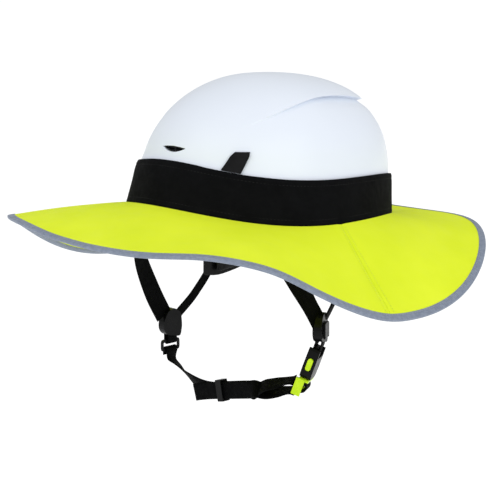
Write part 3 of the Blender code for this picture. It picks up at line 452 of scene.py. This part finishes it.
def capsules(name, spots, length, radius, look, body):
    """Stitches: one mesh of small rounded rods. spots gives (middle, direction) in millimetres."""
    points, faces = [], []
    rings = ((-0.5, 0.15), (-0.36, 0.85), (0.0, 1.0), (0.36, 0.85), (0.5, 0.15))
    for middle, way in spots:
        way = np.asarray(way, float) / np.linalg.norm(way)
        side = np.cross(way, (0.3, 0.5, 0.81))
        side /= np.linalg.norm(side)
        other = np.cross(way, side)
        base = len(points)
        for along, wide in rings:
            for k in range(6):
                a = math.pi * k / 3
                spoke = (math.cos(a) * side + math.sin(a) * other) * radius * wide
                points.append((np.asarray(middle) + way * along * length + spoke) * MM)
        for r in range(4):
            for k in range(6):
                m = (k + 1) % 6
                a, b = base + r * 6, base + r * 6 + 6
                faces.append((a + k, a + m, b + m, b + k))
        faces += [tuple(range(base + 5, base - 1, -1)), tuple(range(base + 24, base + 30))]
    mesh = bpy.data.meshes.new(name)
    mesh.from_pydata([tuple(p) for p in points], [], faces)
    mesh.materials.append(look)
    return finish_mesh(name, mesh, body, (), 80)


def spaced(points, pitch):
    """(middle, direction) every pitch millimetres along a fine line of points."""
    points = np.asarray(points, float)
    steps = np.linalg.norm(np.diff(points, axis=0), axis=1)
    run = np.concatenate([[0], np.cumsum(steps)])
    out = []
    for d in np.arange(pitch / 2, run[-1], pitch):
        i = min(int(np.searchsorted(run, d)) - 1, len(steps) - 1)
        part = (d - run[i]) / steps[i]
        out.append((points[i] + (points[i + 1] - points[i]) * part, points[i + 1] - points[i]))
    return out


BEVEL_FROM_DEG = 32.0


def bevelled(names, look, width, segments):
    """CAD solids that stay: their edges rounded and their material made."""
    for name in names:
        obj = NODES[name]
        obj.data.materials.clear()
        obj.data.materials.append(look)
        for face in obj.data.polygons:
            face.material_index = 0
        weld = obj.modifiers.new("weld", "WELD")
        weld.merge_threshold = WELD
        mod = obj.modifiers.new("edges", "BEVEL")
        mod.width = width * MM
        mod.segments = segments
        mod.limit_method = "ANGLE"
        mod.angle_limit = math.radians(BEVEL_FROM_DEG)
        mod.harden_normals = True
        mod.use_clamp_overlap = True


# ---------------------------------------------------------------- the helmet's own curves
DOME_FRONT, DOME_REAR, DOME_SIDE = 118.4, 140.0, 105.0
DOME_BASE, DOME_RISE, DOME_CENTRE_Y = 37.5, 93.0, -1.5
SHELL_WALL = 2.5
RIM_UP, LINER_RIM_UP = 6.0, 16.5
LINER_OUT, LINER_IN, LINER_GROOVE = -3.3, -20.0, 3.2
CHANNEL_DEG = (22.0, 66.0, 112.0, 158.0)
VENT_WIDE, VENT_TALL, VENT_Z, VENT_POINT = 31.0, 5.2, 68.8, 1.2
VENT_FRONT, VENT_BACK = -150, -60
BAND_OUT, BAND_FLAT_WIDE = 3.5, 0.042
HEM_LOW, HEM_TOP = 0.15, 0.88
BRIM_THICK, BRIM_BULGE = 2.4, 1.6
TAPE_THICK, TAPE_STITCH_IN, TAPE_FLAT = 1.75, 4.6, -0.5
SEAM_DEG = 85.0


def smoothstep(v):
    """0 to 1 with a level start and end."""
    v = min(max(v, 0.0), 1.0)
    return v * v * (3.0 - 2.0 * v)


def turn_of(th):
    """How far round from the front, in degrees."""
    return math.degrees(abs(math.atan2(math.sin(th), math.cos(th))))


def bell(v, middle, wide):
    """A bump of height 1 at the middle."""
    return math.exp(-(((v - middle) / wide) ** 2))


def band_low_z(th):
    return 13.5 * math.cos(th) + 4.0 * math.cos(3 * th)


def band_top_z(th):
    return 40.5 + 1.04 * 13.5 * math.cos(th) + 0.85 * 4.0 * math.cos(3 * th)


def ridge_z(th):
    return 98.6 - 11.0 * math.cos(th) - 12.0 * math.cos(2 * th) - 1.0 * math.cos(3 * th)


def dome_point(th, z, o):
    """The dome at turn th and height z, o outside the shell's outer face. It flares at the rim."""
    s, c = math.sin(th), math.cos(th)
    rise = min(max((z - DOME_BASE) / (DOME_RISE + o), 0.0), 1.0)
    power = 1.9 * (1 + c) / 2 + 2.27 * (1 - c) / 2
    g = (1 - rise**power) ** (1 / power)
    deep = min(max((60.0 - z) / (60.0 - band_low_z(th)), 0.0), 1.3)
    flare = (6.5 + 6.5 * c) * deep**1.3
    length = DOME_FRONT if c > 0 else DOME_REAR
    return (((DOME_SIDE + o) * g + flare) * s, DOME_CENTRE_Y - ((length + o) * g + flare) * c, z)


def dome_top(o):
    return DOME_BASE + DOME_RISE + o


def angles(count):
    return [2 * math.pi * c / count for c in range(count)]


def brim_inner(th):
    """The brim's seam on the band's lower edge."""
    x, y, z = dome_point(th, band_low_z(th), BAND_OUT + 0.9)
    return np.array((x, y, z + 0.3))


def brim_edge(th):
    """The brim's wavy outer edge."""
    s, c = math.sin(th), math.cos(th)
    x = 206.0 * math.copysign(abs(s) ** (2 / 2.3), s)
    y = -15.5 - 224.0 * math.copysign(abs(c) ** (2 / 2.3), c)
    z = -28.2 + 12.2 * c + 27.8 * math.cos(2 * th) - 2.6 * math.cos(3 * th) - 11.4 * math.cos(4 * th)
    signed = math.degrees(math.atan2(s, c))
    z += 4.5 * bell(signed, -12, 14) - 6.0 * bell(signed, 25.0, 15.0) + 3.0 * bell(signed, 56.0, 9.0)
    return np.array((x, y, z - 3.5 * bell(signed, 85.0, 12.0)))


def brim_mid(th, part):
    """Middle surface of the brim: part runs from 0 at the band to 1 at the outer edge. The cloth
    dips a little either side of its seams and has faint swells."""
    a, b = brim_inner(th), brim_edge(th)
    p = a + (b - a) * part
    p[2] += BRIM_BULGE * 4 * part * (1 - part)
    free = math.sin(math.pi * min(max(part, 0.0), 1.0))
    turn = turn_of(th)
    swell = 0.55 * math.sin(7 * th + 2.2 * part) + 0.4 * math.sin(12 * th - 4.0 * part + 1.0)
    seam = 1.3 * bell(turn, SEAM_DEG - 7, 4.0) - 1.2 * bell(turn, SEAM_DEG, 1.6)
    p[2] += free * (swell + seam)
    return p


def brim_frame(th, part):
    """A point of the brim's middle surface, the way out to the edge, and the upward normal."""
    step = 1e-3
    ahead = brim_mid(th + step, part) - brim_mid(th - step, part)
    out = brim_mid(th, part + step) - brim_mid(th, part - step)
    normal = np.cross(ahead, out)
    normal /= np.linalg.norm(normal)
    if normal[2] < 0:
        normal = -normal
    return brim_mid(th, part), out / np.linalg.norm(out), normal


# ---------------------------------------------------------------- shell, liner and vent
def shell_profile(th):
    """(height, offset) down the outer face from the rim to the crown."""
    low, high, ridge = band_low_z(th) + RIM_UP, band_top_z(th), ridge_z(th)
    turn = turn_of(th)
    scoop = 1.6 * smoothstep((turn - 80) / 25)
    step = 3.0 * smoothstep((turn - 35) / 45)
    rows = [(low, -1.25), (low + 0.1, -0.6), (low + 0.45, -0.15), (low + 1.0, 0.0)]
    rows += [(low + 1.0 + (high - low - 1.0) * k / 8, 0.0) for k in range(1, 9)]
    start = ridge - 11.0
    rows += [(high + (start - high) * k / 22, 0.0) for k in range(1, 23)]
    for k in range(1, 12):
        part = k / 11
        rows.append((start + 10.3 * part, -scoop * smoothstep(part)))
    for k in range(1, 7):
        part = k / 6
        rows.append((ridge - 0.7 + 1.5 * part, -scoop + (scoop + step) * smoothstep(part)))
    base = ridge + 0.8
    for k in range(1, 33):
        part = k / 32
        rise = base + (dome_top(0) - base) * math.sin(part * math.pi / 2)
        rows.append((rise, step * (1 - smoothstep(part))))
    return rows


def inner_profile(th, o, rim_up, count, groove=0.0):
    """(height, offset) of a face inside the shell from its rim to the crown, with an air groove."""
    low, top = band_low_z(th) + rim_up, dome_top(o)
    rows = []
    for k in range(count + 1):
        part = k / count
        deep = groove * smoothstep((part - 0.12) / 0.15) * smoothstep((0.92 - part) / 0.12)
        rows.append((low + (top - low) * math.sin(part * math.pi / 2), o + deep))
    return rows


def vent_tool(name, count=24):
    """A lens-shaped prism from front to back that cuts the vent."""
    upper, lower = [], []
    for k in range(count + 1):
        x = -VENT_WIDE / 2 + VENT_WIDE * k / count
        bow = 1 - abs(2 * x / VENT_WIDE) ** 2.0
        lower.append((x, VENT_Z - (VENT_TALL / 2 + VENT_POINT) * bow))
        upper.append((x, VENT_Z + (VENT_TALL / 2 - VENT_POINT) * bow))
    ring = lower + list(reversed(upper[1:-1]))
    n = len(ring)
    points = [(x * MM, y * MM, z * MM) for y in (VENT_FRONT, VENT_BACK) for x, z in ring]
    faces = [tuple(range(n)), tuple(reversed(range(n, 2 * n)))]
    faces += [(k, (k + 1) % n, n + (k + 1) % n, n + k) for k in range(n)]
    mesh = bpy.data.meshes.new(name)
    mesh.from_pydata(points, [], faces)
    return finish_mesh(name, mesh, None, ())


def applied(obj):
    """Puts the object's modifiers into its mesh."""
    graph = bpy.context.evaluated_depsgraph_get()
    done = bpy.data.meshes.new_from_object(obj.evaluated_get(graph), depsgraph=graph)
    obj.modifiers.clear()
    obj.data = done
    return obj


def cut_with(obj, tool):
    mod = obj.modifiers.new("cut", "BOOLEAN")
    mod.operation, mod.solver, mod.object = "DIFFERENCE", "EXACT", tool
    applied(obj)
    bpy.data.objects.remove(tool)


def make_shell(looks):
    """The hard shell with its raised rear cap and the vent."""
    grid = []
    for th in angles(288):
        outer = shell_profile(th)
        inner = inner_profile(th, -SHELL_WALL, RIM_UP, 18)
        grid.append([dome_point(th, z, o) for z, o in outer + list(reversed(inner))])
    look = looks["shell"]
    shell = swept("shell_white", grid, True, look, "helmet", ("outer_shell",), 40)
    cut_with(shell, vent_tool("vent_tool"))


def make_liner(looks):
    """The foam liner with its air channels and the duct behind the vent."""
    grid = []
    for th in angles(144):
        turn = turn_of(th)
        channel = sum(bell(turn, at, 6.0) for at in CHANNEL_DEG)
        outer = inner_profile(th, LINER_OUT, LINER_RIM_UP, 20)
        inner = inner_profile(th, LINER_IN, LINER_RIM_UP, 30, LINER_GROOVE * min(channel, 1.0))
        grid.append([dome_point(th, z, o) for z, o in outer + list(reversed(inner))])
    look = looks["foam"]
    liner = swept("liner_moulded", grid, True, look, "helmet", ("foam_liner",), 50)
    cut_with(liner, vent_tool("duct_tool"))


# ---------------------------------------------------------------- band and brim
def make_band(looks):
    """The stretch band: a knitted tube with a turned hem along each edge."""
    grid = []
    for th in angles(288):
        low, high = band_low_z(th), band_top_z(th)
        turn = turn_of(th)
        relief = 0.45 + 2.15 * smoothstep((turn - 18) / 6) * smoothstep((50 - turn) / 6)
        loop = []
        for k in range(31):
            part = k / 30
            o = BAND_OUT - 0.75 * (bell(part, 0.0, 0.035) + bell(part, 1.0, 0.035))
            o -= 0.28 * (bell(part, HEM_LOW, 0.018) + bell(part, HEM_TOP, 0.018))
            o += 0.12 * math.sin(17 * th + 5 * part) * math.sin(math.pi * part)
            loop.append(dome_point(th, low + (high - low) * part, o))
        for part in (1.0, 0.75, 0.5, 0.25, 0.0):
            loop.append(dome_point(th, low + (high - low) * part, relief))
        grid.append(loop)
    band = swept("band_knitted", grid, True, looks["knit"], "brim", ("brim_band",), 60)
    loop = [dome_point(t, 20, BAND_OUT) for t in angles(200)]
    for name, part in (("hem_stitches_low", HEM_LOW), ("hem_stitches_top", HEM_TOP)):
        line = []
        for th in angles(720) + [2 * math.pi]:
            low, high = band_low_z(th), band_top_z(th)
            line.append(dome_point(th, low + (high - low) * part, BAND_OUT - 0.3))
        capsules(name, spaced(line, 3.4), 2.4, 0.26, looks["thread_black"], "brim")


def make_brim_panel(name, node, deg0, deg1, cols, looks):
    """One panel of the brim's cloth, thinner where it is sewn to the other."""
    parts = [0.0, 0.03] + [0.03 + 0.94 * k / 22 for k in range(1, 22)] + [0.985, 1.0]
    grid = []
    for c in range(cols):
        nudge = 0.1 if c == 0 else -0.1 if c == cols - 1 else 0.0
        th = math.radians(deg0 + (deg1 - deg0) * c / (cols - 1) + nudge)
        close = min(c, cols - 1 - c)
        thin = BRIM_THICK / 2 * (0.45 + 0.55 * smoothstep(close / 3))
        top, low = [], []
        for part in parts:
            mid, out, normal = brim_frame(th, part)
            if part == 1.0:
                mid = mid - out * 0.45
            top.append(mid + normal * thin)
            low.append(mid - normal * thin)
        grid.append(top + low[::-1])
    return swept(name, grid, False, looks["brim"], "brim", (node,), 70)


def make_brim(looks):
    """Both panels, the tape round them and a row of stitches on each side of each seam."""
    deg = SEAM_DEG
    front = make_brim_panel("brim_cloth_front", "brim_panel_front", -deg, deg, 200, looks)
    rear = make_brim_panel("brim_cloth_rear", "brim_panel_rear", deg, 360 - deg, 220, looks)
    make_binding(looks)
    for side, tag in ((1, "left"), (-1, "right")):
        for k, off in enumerate((-1.1, 1.1)):
            th = math.radians(side * (SEAM_DEG + off))
            line = []
            for part in np.linspace(0.03, 0.93, 60):
                mid, _, normal = brim_frame(th, part)
                line.append(mid + normal * (BRIM_THICK / 2 + 0.02))
            spots = spaced(line, 3.0)
            stitches = "seam_stitches_%s_%d" % (tag, k)
            capsules(stitches, spots, 2.1, 0.24, looks["thread_yellow"], "brim")


def binding_scale(th):
    """How wide the tape is over the brim: it is folded over further at the front."""
    signed = math.degrees(math.atan2(math.sin(th), math.cos(th)))
    return 0.94 - 0.32 * bell(signed, -3.0, 20.0)


def binding_section(thick, slot):
    """The folded tape as (outward, up) from the brim's edge, with the cloth's slot in it."""
    return (
        (-6.1, slot), (-6.4, slot + 0.15), (-6.3, thick - 0.15), (-5.9, thick),
        (-4.9, thick - 0.1), (-TAPE_STITCH_IN, thick - 0.2), (-4.2, thick), (-2.0, thick + 0.05),
        (0.2, thick - 0.1), (0.8, thick - 0.6), (1.1, 0.5), (1.1, -0.5), (0.8, -thick + 0.6),
        (0.2, -thick + 0.1), (-2.0, -thick), (-5.9, -thick), (-6.3, -thick + 0.15),
        (-6.4, -slot - 0.15), (-6.1, -slot), (-0.2, -slot), (-0.2, slot),
    )


def make_binding(looks):
    """Folded tape over the brim's edge, with a stitched line near its inner side."""
    thick, look = TAPE_THICK, looks["binding"]
    section = binding_section(thick, BRIM_THICK / 2 + 0.1)
    grid, upper, lower = [], [], []
    for th in angles(432):
        length = np.linalg.norm(brim_edge(th) - brim_inner(th))
        frames = {}
        loop = []
        wide = binding_scale(th)
        for u, v in section:
            u = u * wide if u < TAPE_FLAT else u
            key = round(min(u, TAPE_FLAT), 2)
            if key not in frames:
                frames[key] = brim_frame(th, 1 + min(u, 0.0) / length)
            mid, out, bend = frames[key]
            loop.append(mid + out * max(u, 0.0) + bend * v)
        grid.append(loop)
        mid, _, bend = brim_frame(th, 1 - TAPE_STITCH_IN * wide / length)
        upper.append(mid + bend * (thick - 0.12))
        lower.append(mid - bend * (thick + 0.02))
    swept("binding_tape", grid, True, look, "brim", ("edge_binding",), 60)
    upper.append(upper[0])
    lower.append(lower[0])
    spots = spaced(upper, 3.3) + spaced(lower, 3.3)
    capsules("binding_stitches", spots, 2.3, 0.27, looks["thread_grey"], "brim")


# ---------------------------------------------------------------- harness
LEFT_FACE_DEG, BUCKLE_LEAN_DEG, BUCKLE_LONG = -28.0, 20.0, 31.0
BUCKLE_C = (93.6, -25.2, -128.6)
DIVIDER_SHIFT = {1: (-19.5, -97.0), -1: (-31.0, -123.0)}
FRONT_STRAP = {
    1: (
        (84.5, -74.0, 10.0), (87.5, -68.0, -12.0), (92.0, -48.0, -46.0), (96.0, -33.5, -72.0),
        (99.0, -22.4, -92.0),
    ),
    -1: (
        (-83.0, -80.0, 9.0), (-87.0, -80.5, -14.0), (-93.5, -74.0, -48.0), (-97.5, -56.0, -86.0),
        (-98.0, -40.0, -114.5),
    ),
}
REAR_STRAP = {
    1: (
        (100.7, 34.5, 9.0), (100.4, 30.0, -14.0), (100.8, 14.0, -45.0), (102.0, -4.5, -72.0),
        (97.7, -13.2, -91.0),
    ),
    -1: (
        (-100.7, 34.5, 9.0), (-100.5, 34.0, -30.0), (-98.8, 27.0, -68.0), (-98.0, 3.0, -96.5),
        (-98.0, -21.0, -115.5),
    ),
}
LOOP_GAP, LOOP_WIDE, LOOP_THIN, LEG_TOP = 2.9, 12.0, 1.2, 4.0
LEG_OFFSET = {1: 1.0, -1: 0.5}
RING_C, RING_TALL, RING_BAR = (-98.0, -32.0, -145.6), 12.2, 2.8
CHIN_RUN = (
    (-95.3, -32.5, -159.6), (-84.0, -34.0, -164.5), (-64.0, -37.0, -171.5), (-44.0, -39.6, -176.3),
    (-26.0, -40.6, -177.0), (-8.0, -41.2, -173.0), (28.0, -42.4, -165.0),
)
CHIN_WIDE = (
    (0.3, -1.0, 0.15), (0.55, -0.8, 0.25), (0.5, -0.6, 0.55), (0.2, -0.3, 0.9),
    (0.0, -0.05, 1.0), (0.0, 0.0, 1.0), (0.0, 0.0, 1.0),
)
CHIN_WIDTHS = (15.0, 15.5, 16.5, 17.0, 17.0, 17.0, 17.0)
CHIN_TURN = (
    ((38.0, -44.2, -163.2), 2.6, 36.0), ((51.0, -43.0, -160.2), 4.6, 60.0),
    ((64.0, -39.4, -156.4), 5.1, 68.0), ((74.0, -34.6, -153.4), 4.9, 80.0),
)
CHIN_RETURN = (
    (28.0, -45.1, -165.0), (-8.0, -43.9, -173.0),
    (-26.0, -43.3, -177.0), (-40.0, -43.8, -180.6), (-47.5, -44.2, -182.8),
)
PLUG_BAR, LOOP_R, PLUG_LOOP_R = (0.0, -0.5, 25.0), 3.0, 4.8
FRONT_WIDE, REAR_WIDE, WEB_THIN, CHIN_THIN = 20.0, 10.0, 1.5, 1.4
DIVIDER_X, BUCKLE_BAR_IN = 98.0, 4.4
LOOP_LEGS = (9.5, 13.5)


def divider_axes(side):
    """Down, outward and across for a divider's face: the left one is turned to the front."""
    if side < 0:
        return np.array((0.0, 0.0, -1.0)), np.array((1.0, 0.0, 0.0)), np.array((0.0, -1.0, 0.0))
    turn = math.radians(LEFT_FACE_DEG)
    out = np.array((math.cos(turn), -math.sin(turn), 0.0))
    return np.array((0.0, 0.0, -1.0)), out, np.array((-math.sin(turn), -math.cos(turn), 0.0))


def buckle_axes():
    """The same for the buckle, whose lower end leans in."""
    down, out, wide = divider_axes(1)
    lean = math.radians(BUCKLE_LEAN_DEG)
    along = down * math.cos(lean) - out * math.sin(lean)
    return along, out * math.cos(lean) + down * math.sin(lean), wide


def buckle_point(wide_at, out_at, down_at):
    down, out, wide = buckle_axes()
    return np.array(BUCKLE_C) + wide_at * wide + out_at * out + down_at * down


def across_run(keys, normals):
    """Which way the webbing's width lies at each key, for a face that looks along the normals."""
    wides, last = [], len(keys) - 1
    for k in range(len(keys)):
        run = np.array(keys[min(k + 1, last)], float) - np.array(keys[max(k - 1, 0)], float)
        w = np.cross(run, normals[k])
        wides.append(w / np.linalg.norm(w))
    return wides


def make_straps(looks):
    """The four side straps, the loops below the dividers and the chin webbing."""
    for side, tag in ((1, "left"), (-1, "right")):
        front, rear, look = FRONT_STRAP[side], REAR_STRAP[side], looks["twill"]
        plate = divider_axes(side)[1]
        outward = np.array((1.0, 0.0, 0.0))
        front_rim = np.array((0.70, -0.71 * side, 0.0))
        turned = plate * 0.7 + front_rim * 0.3 if side > 0 else plate
        middle = 0.6 * outward + 0.4 * front_rim
        front_w = across_run(front, (front_rim, front_rim, middle, turned, turned))
        rear_w = across_run(rear, (outward, outward, outward, plate, plate))
        webbing("front_strap_" + tag, front, front_w, FRONT_WIDE, WEB_THIN, look)
        webbing("rear_strap_" + tag, rear, rear_w, REAR_WIDE, WEB_THIN, look)
        make_lower_strap(side, tag, looks)
    make_chin_webbing(looks)


def make_lower_strap(side, tag, looks):
    """A loop of narrow webbing from a divider round the bar of the buckle or the ring."""
    if side > 0:
        centre, (down, out, wide), offset = BUCKLE_C, buckle_axes(), -1.0
        turn = -BUCKLE_LONG / 2 + BUCKLE_BAR_IN - RING_BAR / 2
    else:
        centre, (down, out, wide), offset = RING_C, divider_axes(-1), -0.5
        turn = -RING_TALL / 2 + RING_BAR / 2
    origin = np.array(centre) + offset * wide
    y, z = DIVIDER_SHIFT[side]
    plate_down, plate_out, across = divider_axes(side)
    top = np.array((DIVIDER_X * side, y, z)) + LEG_OFFSET[side] * across
    legs = (LEG_TOP, *LOOP_LEGS)
    keys = [top + LOOP_GAP * plate_out + d * plate_down for d in legs]
    for k in range(7):
        a = math.pi * k / 6
        keys.append(origin + LOOP_GAP * math.cos(a) * out + (turn + LOOP_GAP * math.sin(a)) * down)
    keys += [top - LOOP_GAP * plate_out + d * plate_down for d in reversed(legs)]
    wides = [wide] * len(keys)
    webbing("lower_strap_" + tag, keys, wides, LOOP_WIDE, LOOP_THIN, looks["twill"], 4)


def plug_run_axes():
    """Away from the plug along the webbing, up from it, and across it."""
    wide = buckle_axes()[2]
    away = np.array((-0.90, -0.43, -0.12))
    away -= wide * np.dot(away, wide)
    away /= np.linalg.norm(away)
    level = np.cross(away, wide)
    return away, -level if level[2] < 0 else level, wide


def turned_run(middle, gap, turn, sign):
    """A point of one of the two runs at the plug, and which way its width lies there."""
    away, level, wide = plug_run_axes()
    turn = math.radians(turn)
    flat = -wide if wide[1] < 0 else wide
    across = np.array((0.0, 0.0, 1.0)) * math.cos(turn) + flat * math.sin(turn)
    side = np.cross(across, away)
    side /= np.linalg.norm(side)
    if np.dot(side, level) + np.dot(side, (0, 1, 0)) < 0:
        side = -side
    return np.array(middle) + sign * gap * side, across


def make_chin_webbing(looks):
    """One strap: round the ring, under the chin, round the plug's bar and back to its cut end."""
    x, y, z = RING_C
    z = z - RING_TALL / 2 + RING_BAR / 2
    keys, wides, widths = [], [], []

    def add(point, wide, width):
        keys.append(tuple(point))
        wides.append(tuple(wide))
        widths.append(width)

    add((x - LOOP_R, y, z - 5.5), (0, -1, 0), 14.0)
    for k in range(5):
        a = math.pi * k / 4
        add((x - LOOP_R * math.cos(a), y, z + LOOP_R * math.sin(a)), (0, -1, 0), 14.0)
    for point, wide, width in zip(CHIN_RUN, CHIN_WIDE, CHIN_WIDTHS):
        add(point, wide, width)
    away, level, wide = plug_run_axes()
    for middle, gap, turn in CHIN_TURN:
        add(*turned_run(middle, gap, turn, 1), 17.0)
    for k in range(5):
        a = math.pi * k / 4
        rim = level * math.cos(a) - away * math.sin(a)
        add(np.array(buckle_point(*PLUG_BAR)) + PLUG_LOOP_R * rim, wide, 16.0)
    for middle, gap, turn in reversed(CHIN_TURN):
        add(*turned_run(middle, gap, turn, -1), 17.0)
    for point in CHIN_RETURN:
        add(point, (0, 0, 1), 17.0)
    look = looks["twill"]
    strap = webbing("chin_webbing", keys, wides, widths, CHIN_THIN, look, 5, body=None)
    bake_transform(strap)


# ---------------------------------------------------------------- pads
PAD_VOXEL, PAD_PRESSURE, PAD_FRAMES, PAD_CAP = 1.8, 4.0, 14, 1.6


def make_pad(node, body, looks):
    """A pad blown up a little by cloth pressure, so that its faces crown between its edges."""
    source = NODES[node]
    mesh = source.data.copy()
    pad = bpy.data.objects.new("soft_" + node, mesh)
    bpy.context.scene.collection.objects.link(pad)
    weld = pad.modifiers.new("weld", "WELD")
    weld.merge_threshold = WELD
    mod = pad.modifiers.new("even", "REMESH")
    mod.mode, mod.voxel_size = "VOXEL", PAD_VOXEL * MM
    smooth = pad.modifiers.new("soften", "SMOOTH")
    smooth.factor, smooth.iterations = 0.5, 6
    applied(pad)
    start = np.array([v.co for v in pad.data.vertices])
    cloth = pad.modifiers.new("cloth", "CLOTH")
    cloth.settings.use_pressure = True
    cloth.settings.uniform_pressure_force = PAD_PRESSURE
    cloth.settings.effector_weights.gravity = 0.0
    cloth.settings.quality = 4
    for f in range(1, PAD_FRAMES + 1):
        bpy.context.scene.frame_set(f)
    applied(pad)
    bpy.context.scene.frame_set(1)
    moved = np.array([v.co for v in pad.data.vertices])
    shift = moved - start
    far = np.linalg.norm(shift, axis=1, keepdims=True)
    shift *= np.minimum(1.0, PAD_CAP * MM / np.maximum(far, 1e-9))
    pad.data.vertices.foreach_set("co", (start + shift).astype(np.float32).ravel())
    pad.data.update()
    sub = pad.modifiers.new("smooth", "SUBSURF")
    sub.levels = sub.render_levels = 1
    applied(pad)
    pad.data.materials.clear()
    pad.data.materials.append(looks["pad"])
    for face in pad.data.polygons:
        face.use_smooth = True
        face.material_index = 0
    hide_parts(node)
    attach(pad, body)


def make_pads(looks):
    """The pads in the shell ride with it, and the two on the cradle's arms with the arms."""
    for node in ("brow_pad", "crown_pad", "side_pad_left", "side_pad_right", "rear_pad", "nape_pad"):
        make_pad(node, "helmet", looks)
    for side in ("left", "right"):
        make_pad("arm_pad_" + side, "arm_" + side, looks)


# ---------------------------------------------------------------- hard parts
def both(*stems):
    return [stem + side for stem in stems for side in ("left", "right")]


# CAD solids that show as they are: names, look, rounding in millimetres and its segments.
HARD_PARTS = (
    (both("divider_", "divider_flap_"), "black", 0.7, 4),
    (["chin_ring_right", "strap_keeper", "buckle_housing"], "black", 0.5, 3),
    (["side_clip_left"], "satin", 0.6, 3),
    (both("strap_anchor_front_", "strap_anchor_rear_"), "black", 0.5, 2),
    (["adjuster_base", "adjuster_cover", "cradle_spine"], "black", 0.4, 3),
    (["adjuster_dial"], "black", 0.4, 2),
    (both("cradle_arm_"), "black", 0.5, 3),
    (["vent_insert_front"], "satin", 0.12, 2),
    (["buckle_plug", "release_button_front", "release_button_rear"], "lime", 0.4, 3),
)


def make_hard_parts(looks):
    for names, look, width, segments in HARD_PARTS:
        bevelled(names, looks[look], width, segments)


def make_looks():
    black, satin = "black_plastic", "satin_plastic"
    return {
        "shell": shell_look(),
        "black": plastic_look(black, (0.0018, 0.0018, 0.0022), (0.0042, 0.0042, 0.0050), 0.30),
        "satin": plastic_look(satin, (0.004, 0.004, 0.0045), (0.008, 0.008, 0.009), 0.42),
        "lime": plastic_look("lime_plastic", (0.50, 0.74, 0.012), (0.60, 0.84, 0.03), 0.33),
        # The twill's second colour is the painted highlight on its ribs.
        "twill": twill_look("webbing_twill", (0.0008, 0.0008, 0.0010), (0.0040, 0.0042, 0.0050)),
        "knit": knit_look(),
        "brim": brim_look(),
        "binding": binding_look(),
        "foam": foam_look(),
        "pad": pad_look(),
        "thread_black": thread_look("thread_black", (0.012, 0.012, 0.014)),
        "thread_yellow": thread_look("thread_yellow", (0.80, 0.92, 0.10)),
        "thread_grey": thread_look("thread_grey", (0.36, 0.40, 0.47)),
    }


def main():
    make_camera()
    make_studio()
    looks = make_looks()
    make_shell(looks)
    make_liner(looks)
    make_band(looks)
    make_brim(looks)
    make_straps(looks)
    make_pads(looks)
    make_hard_parts(looks)


main()
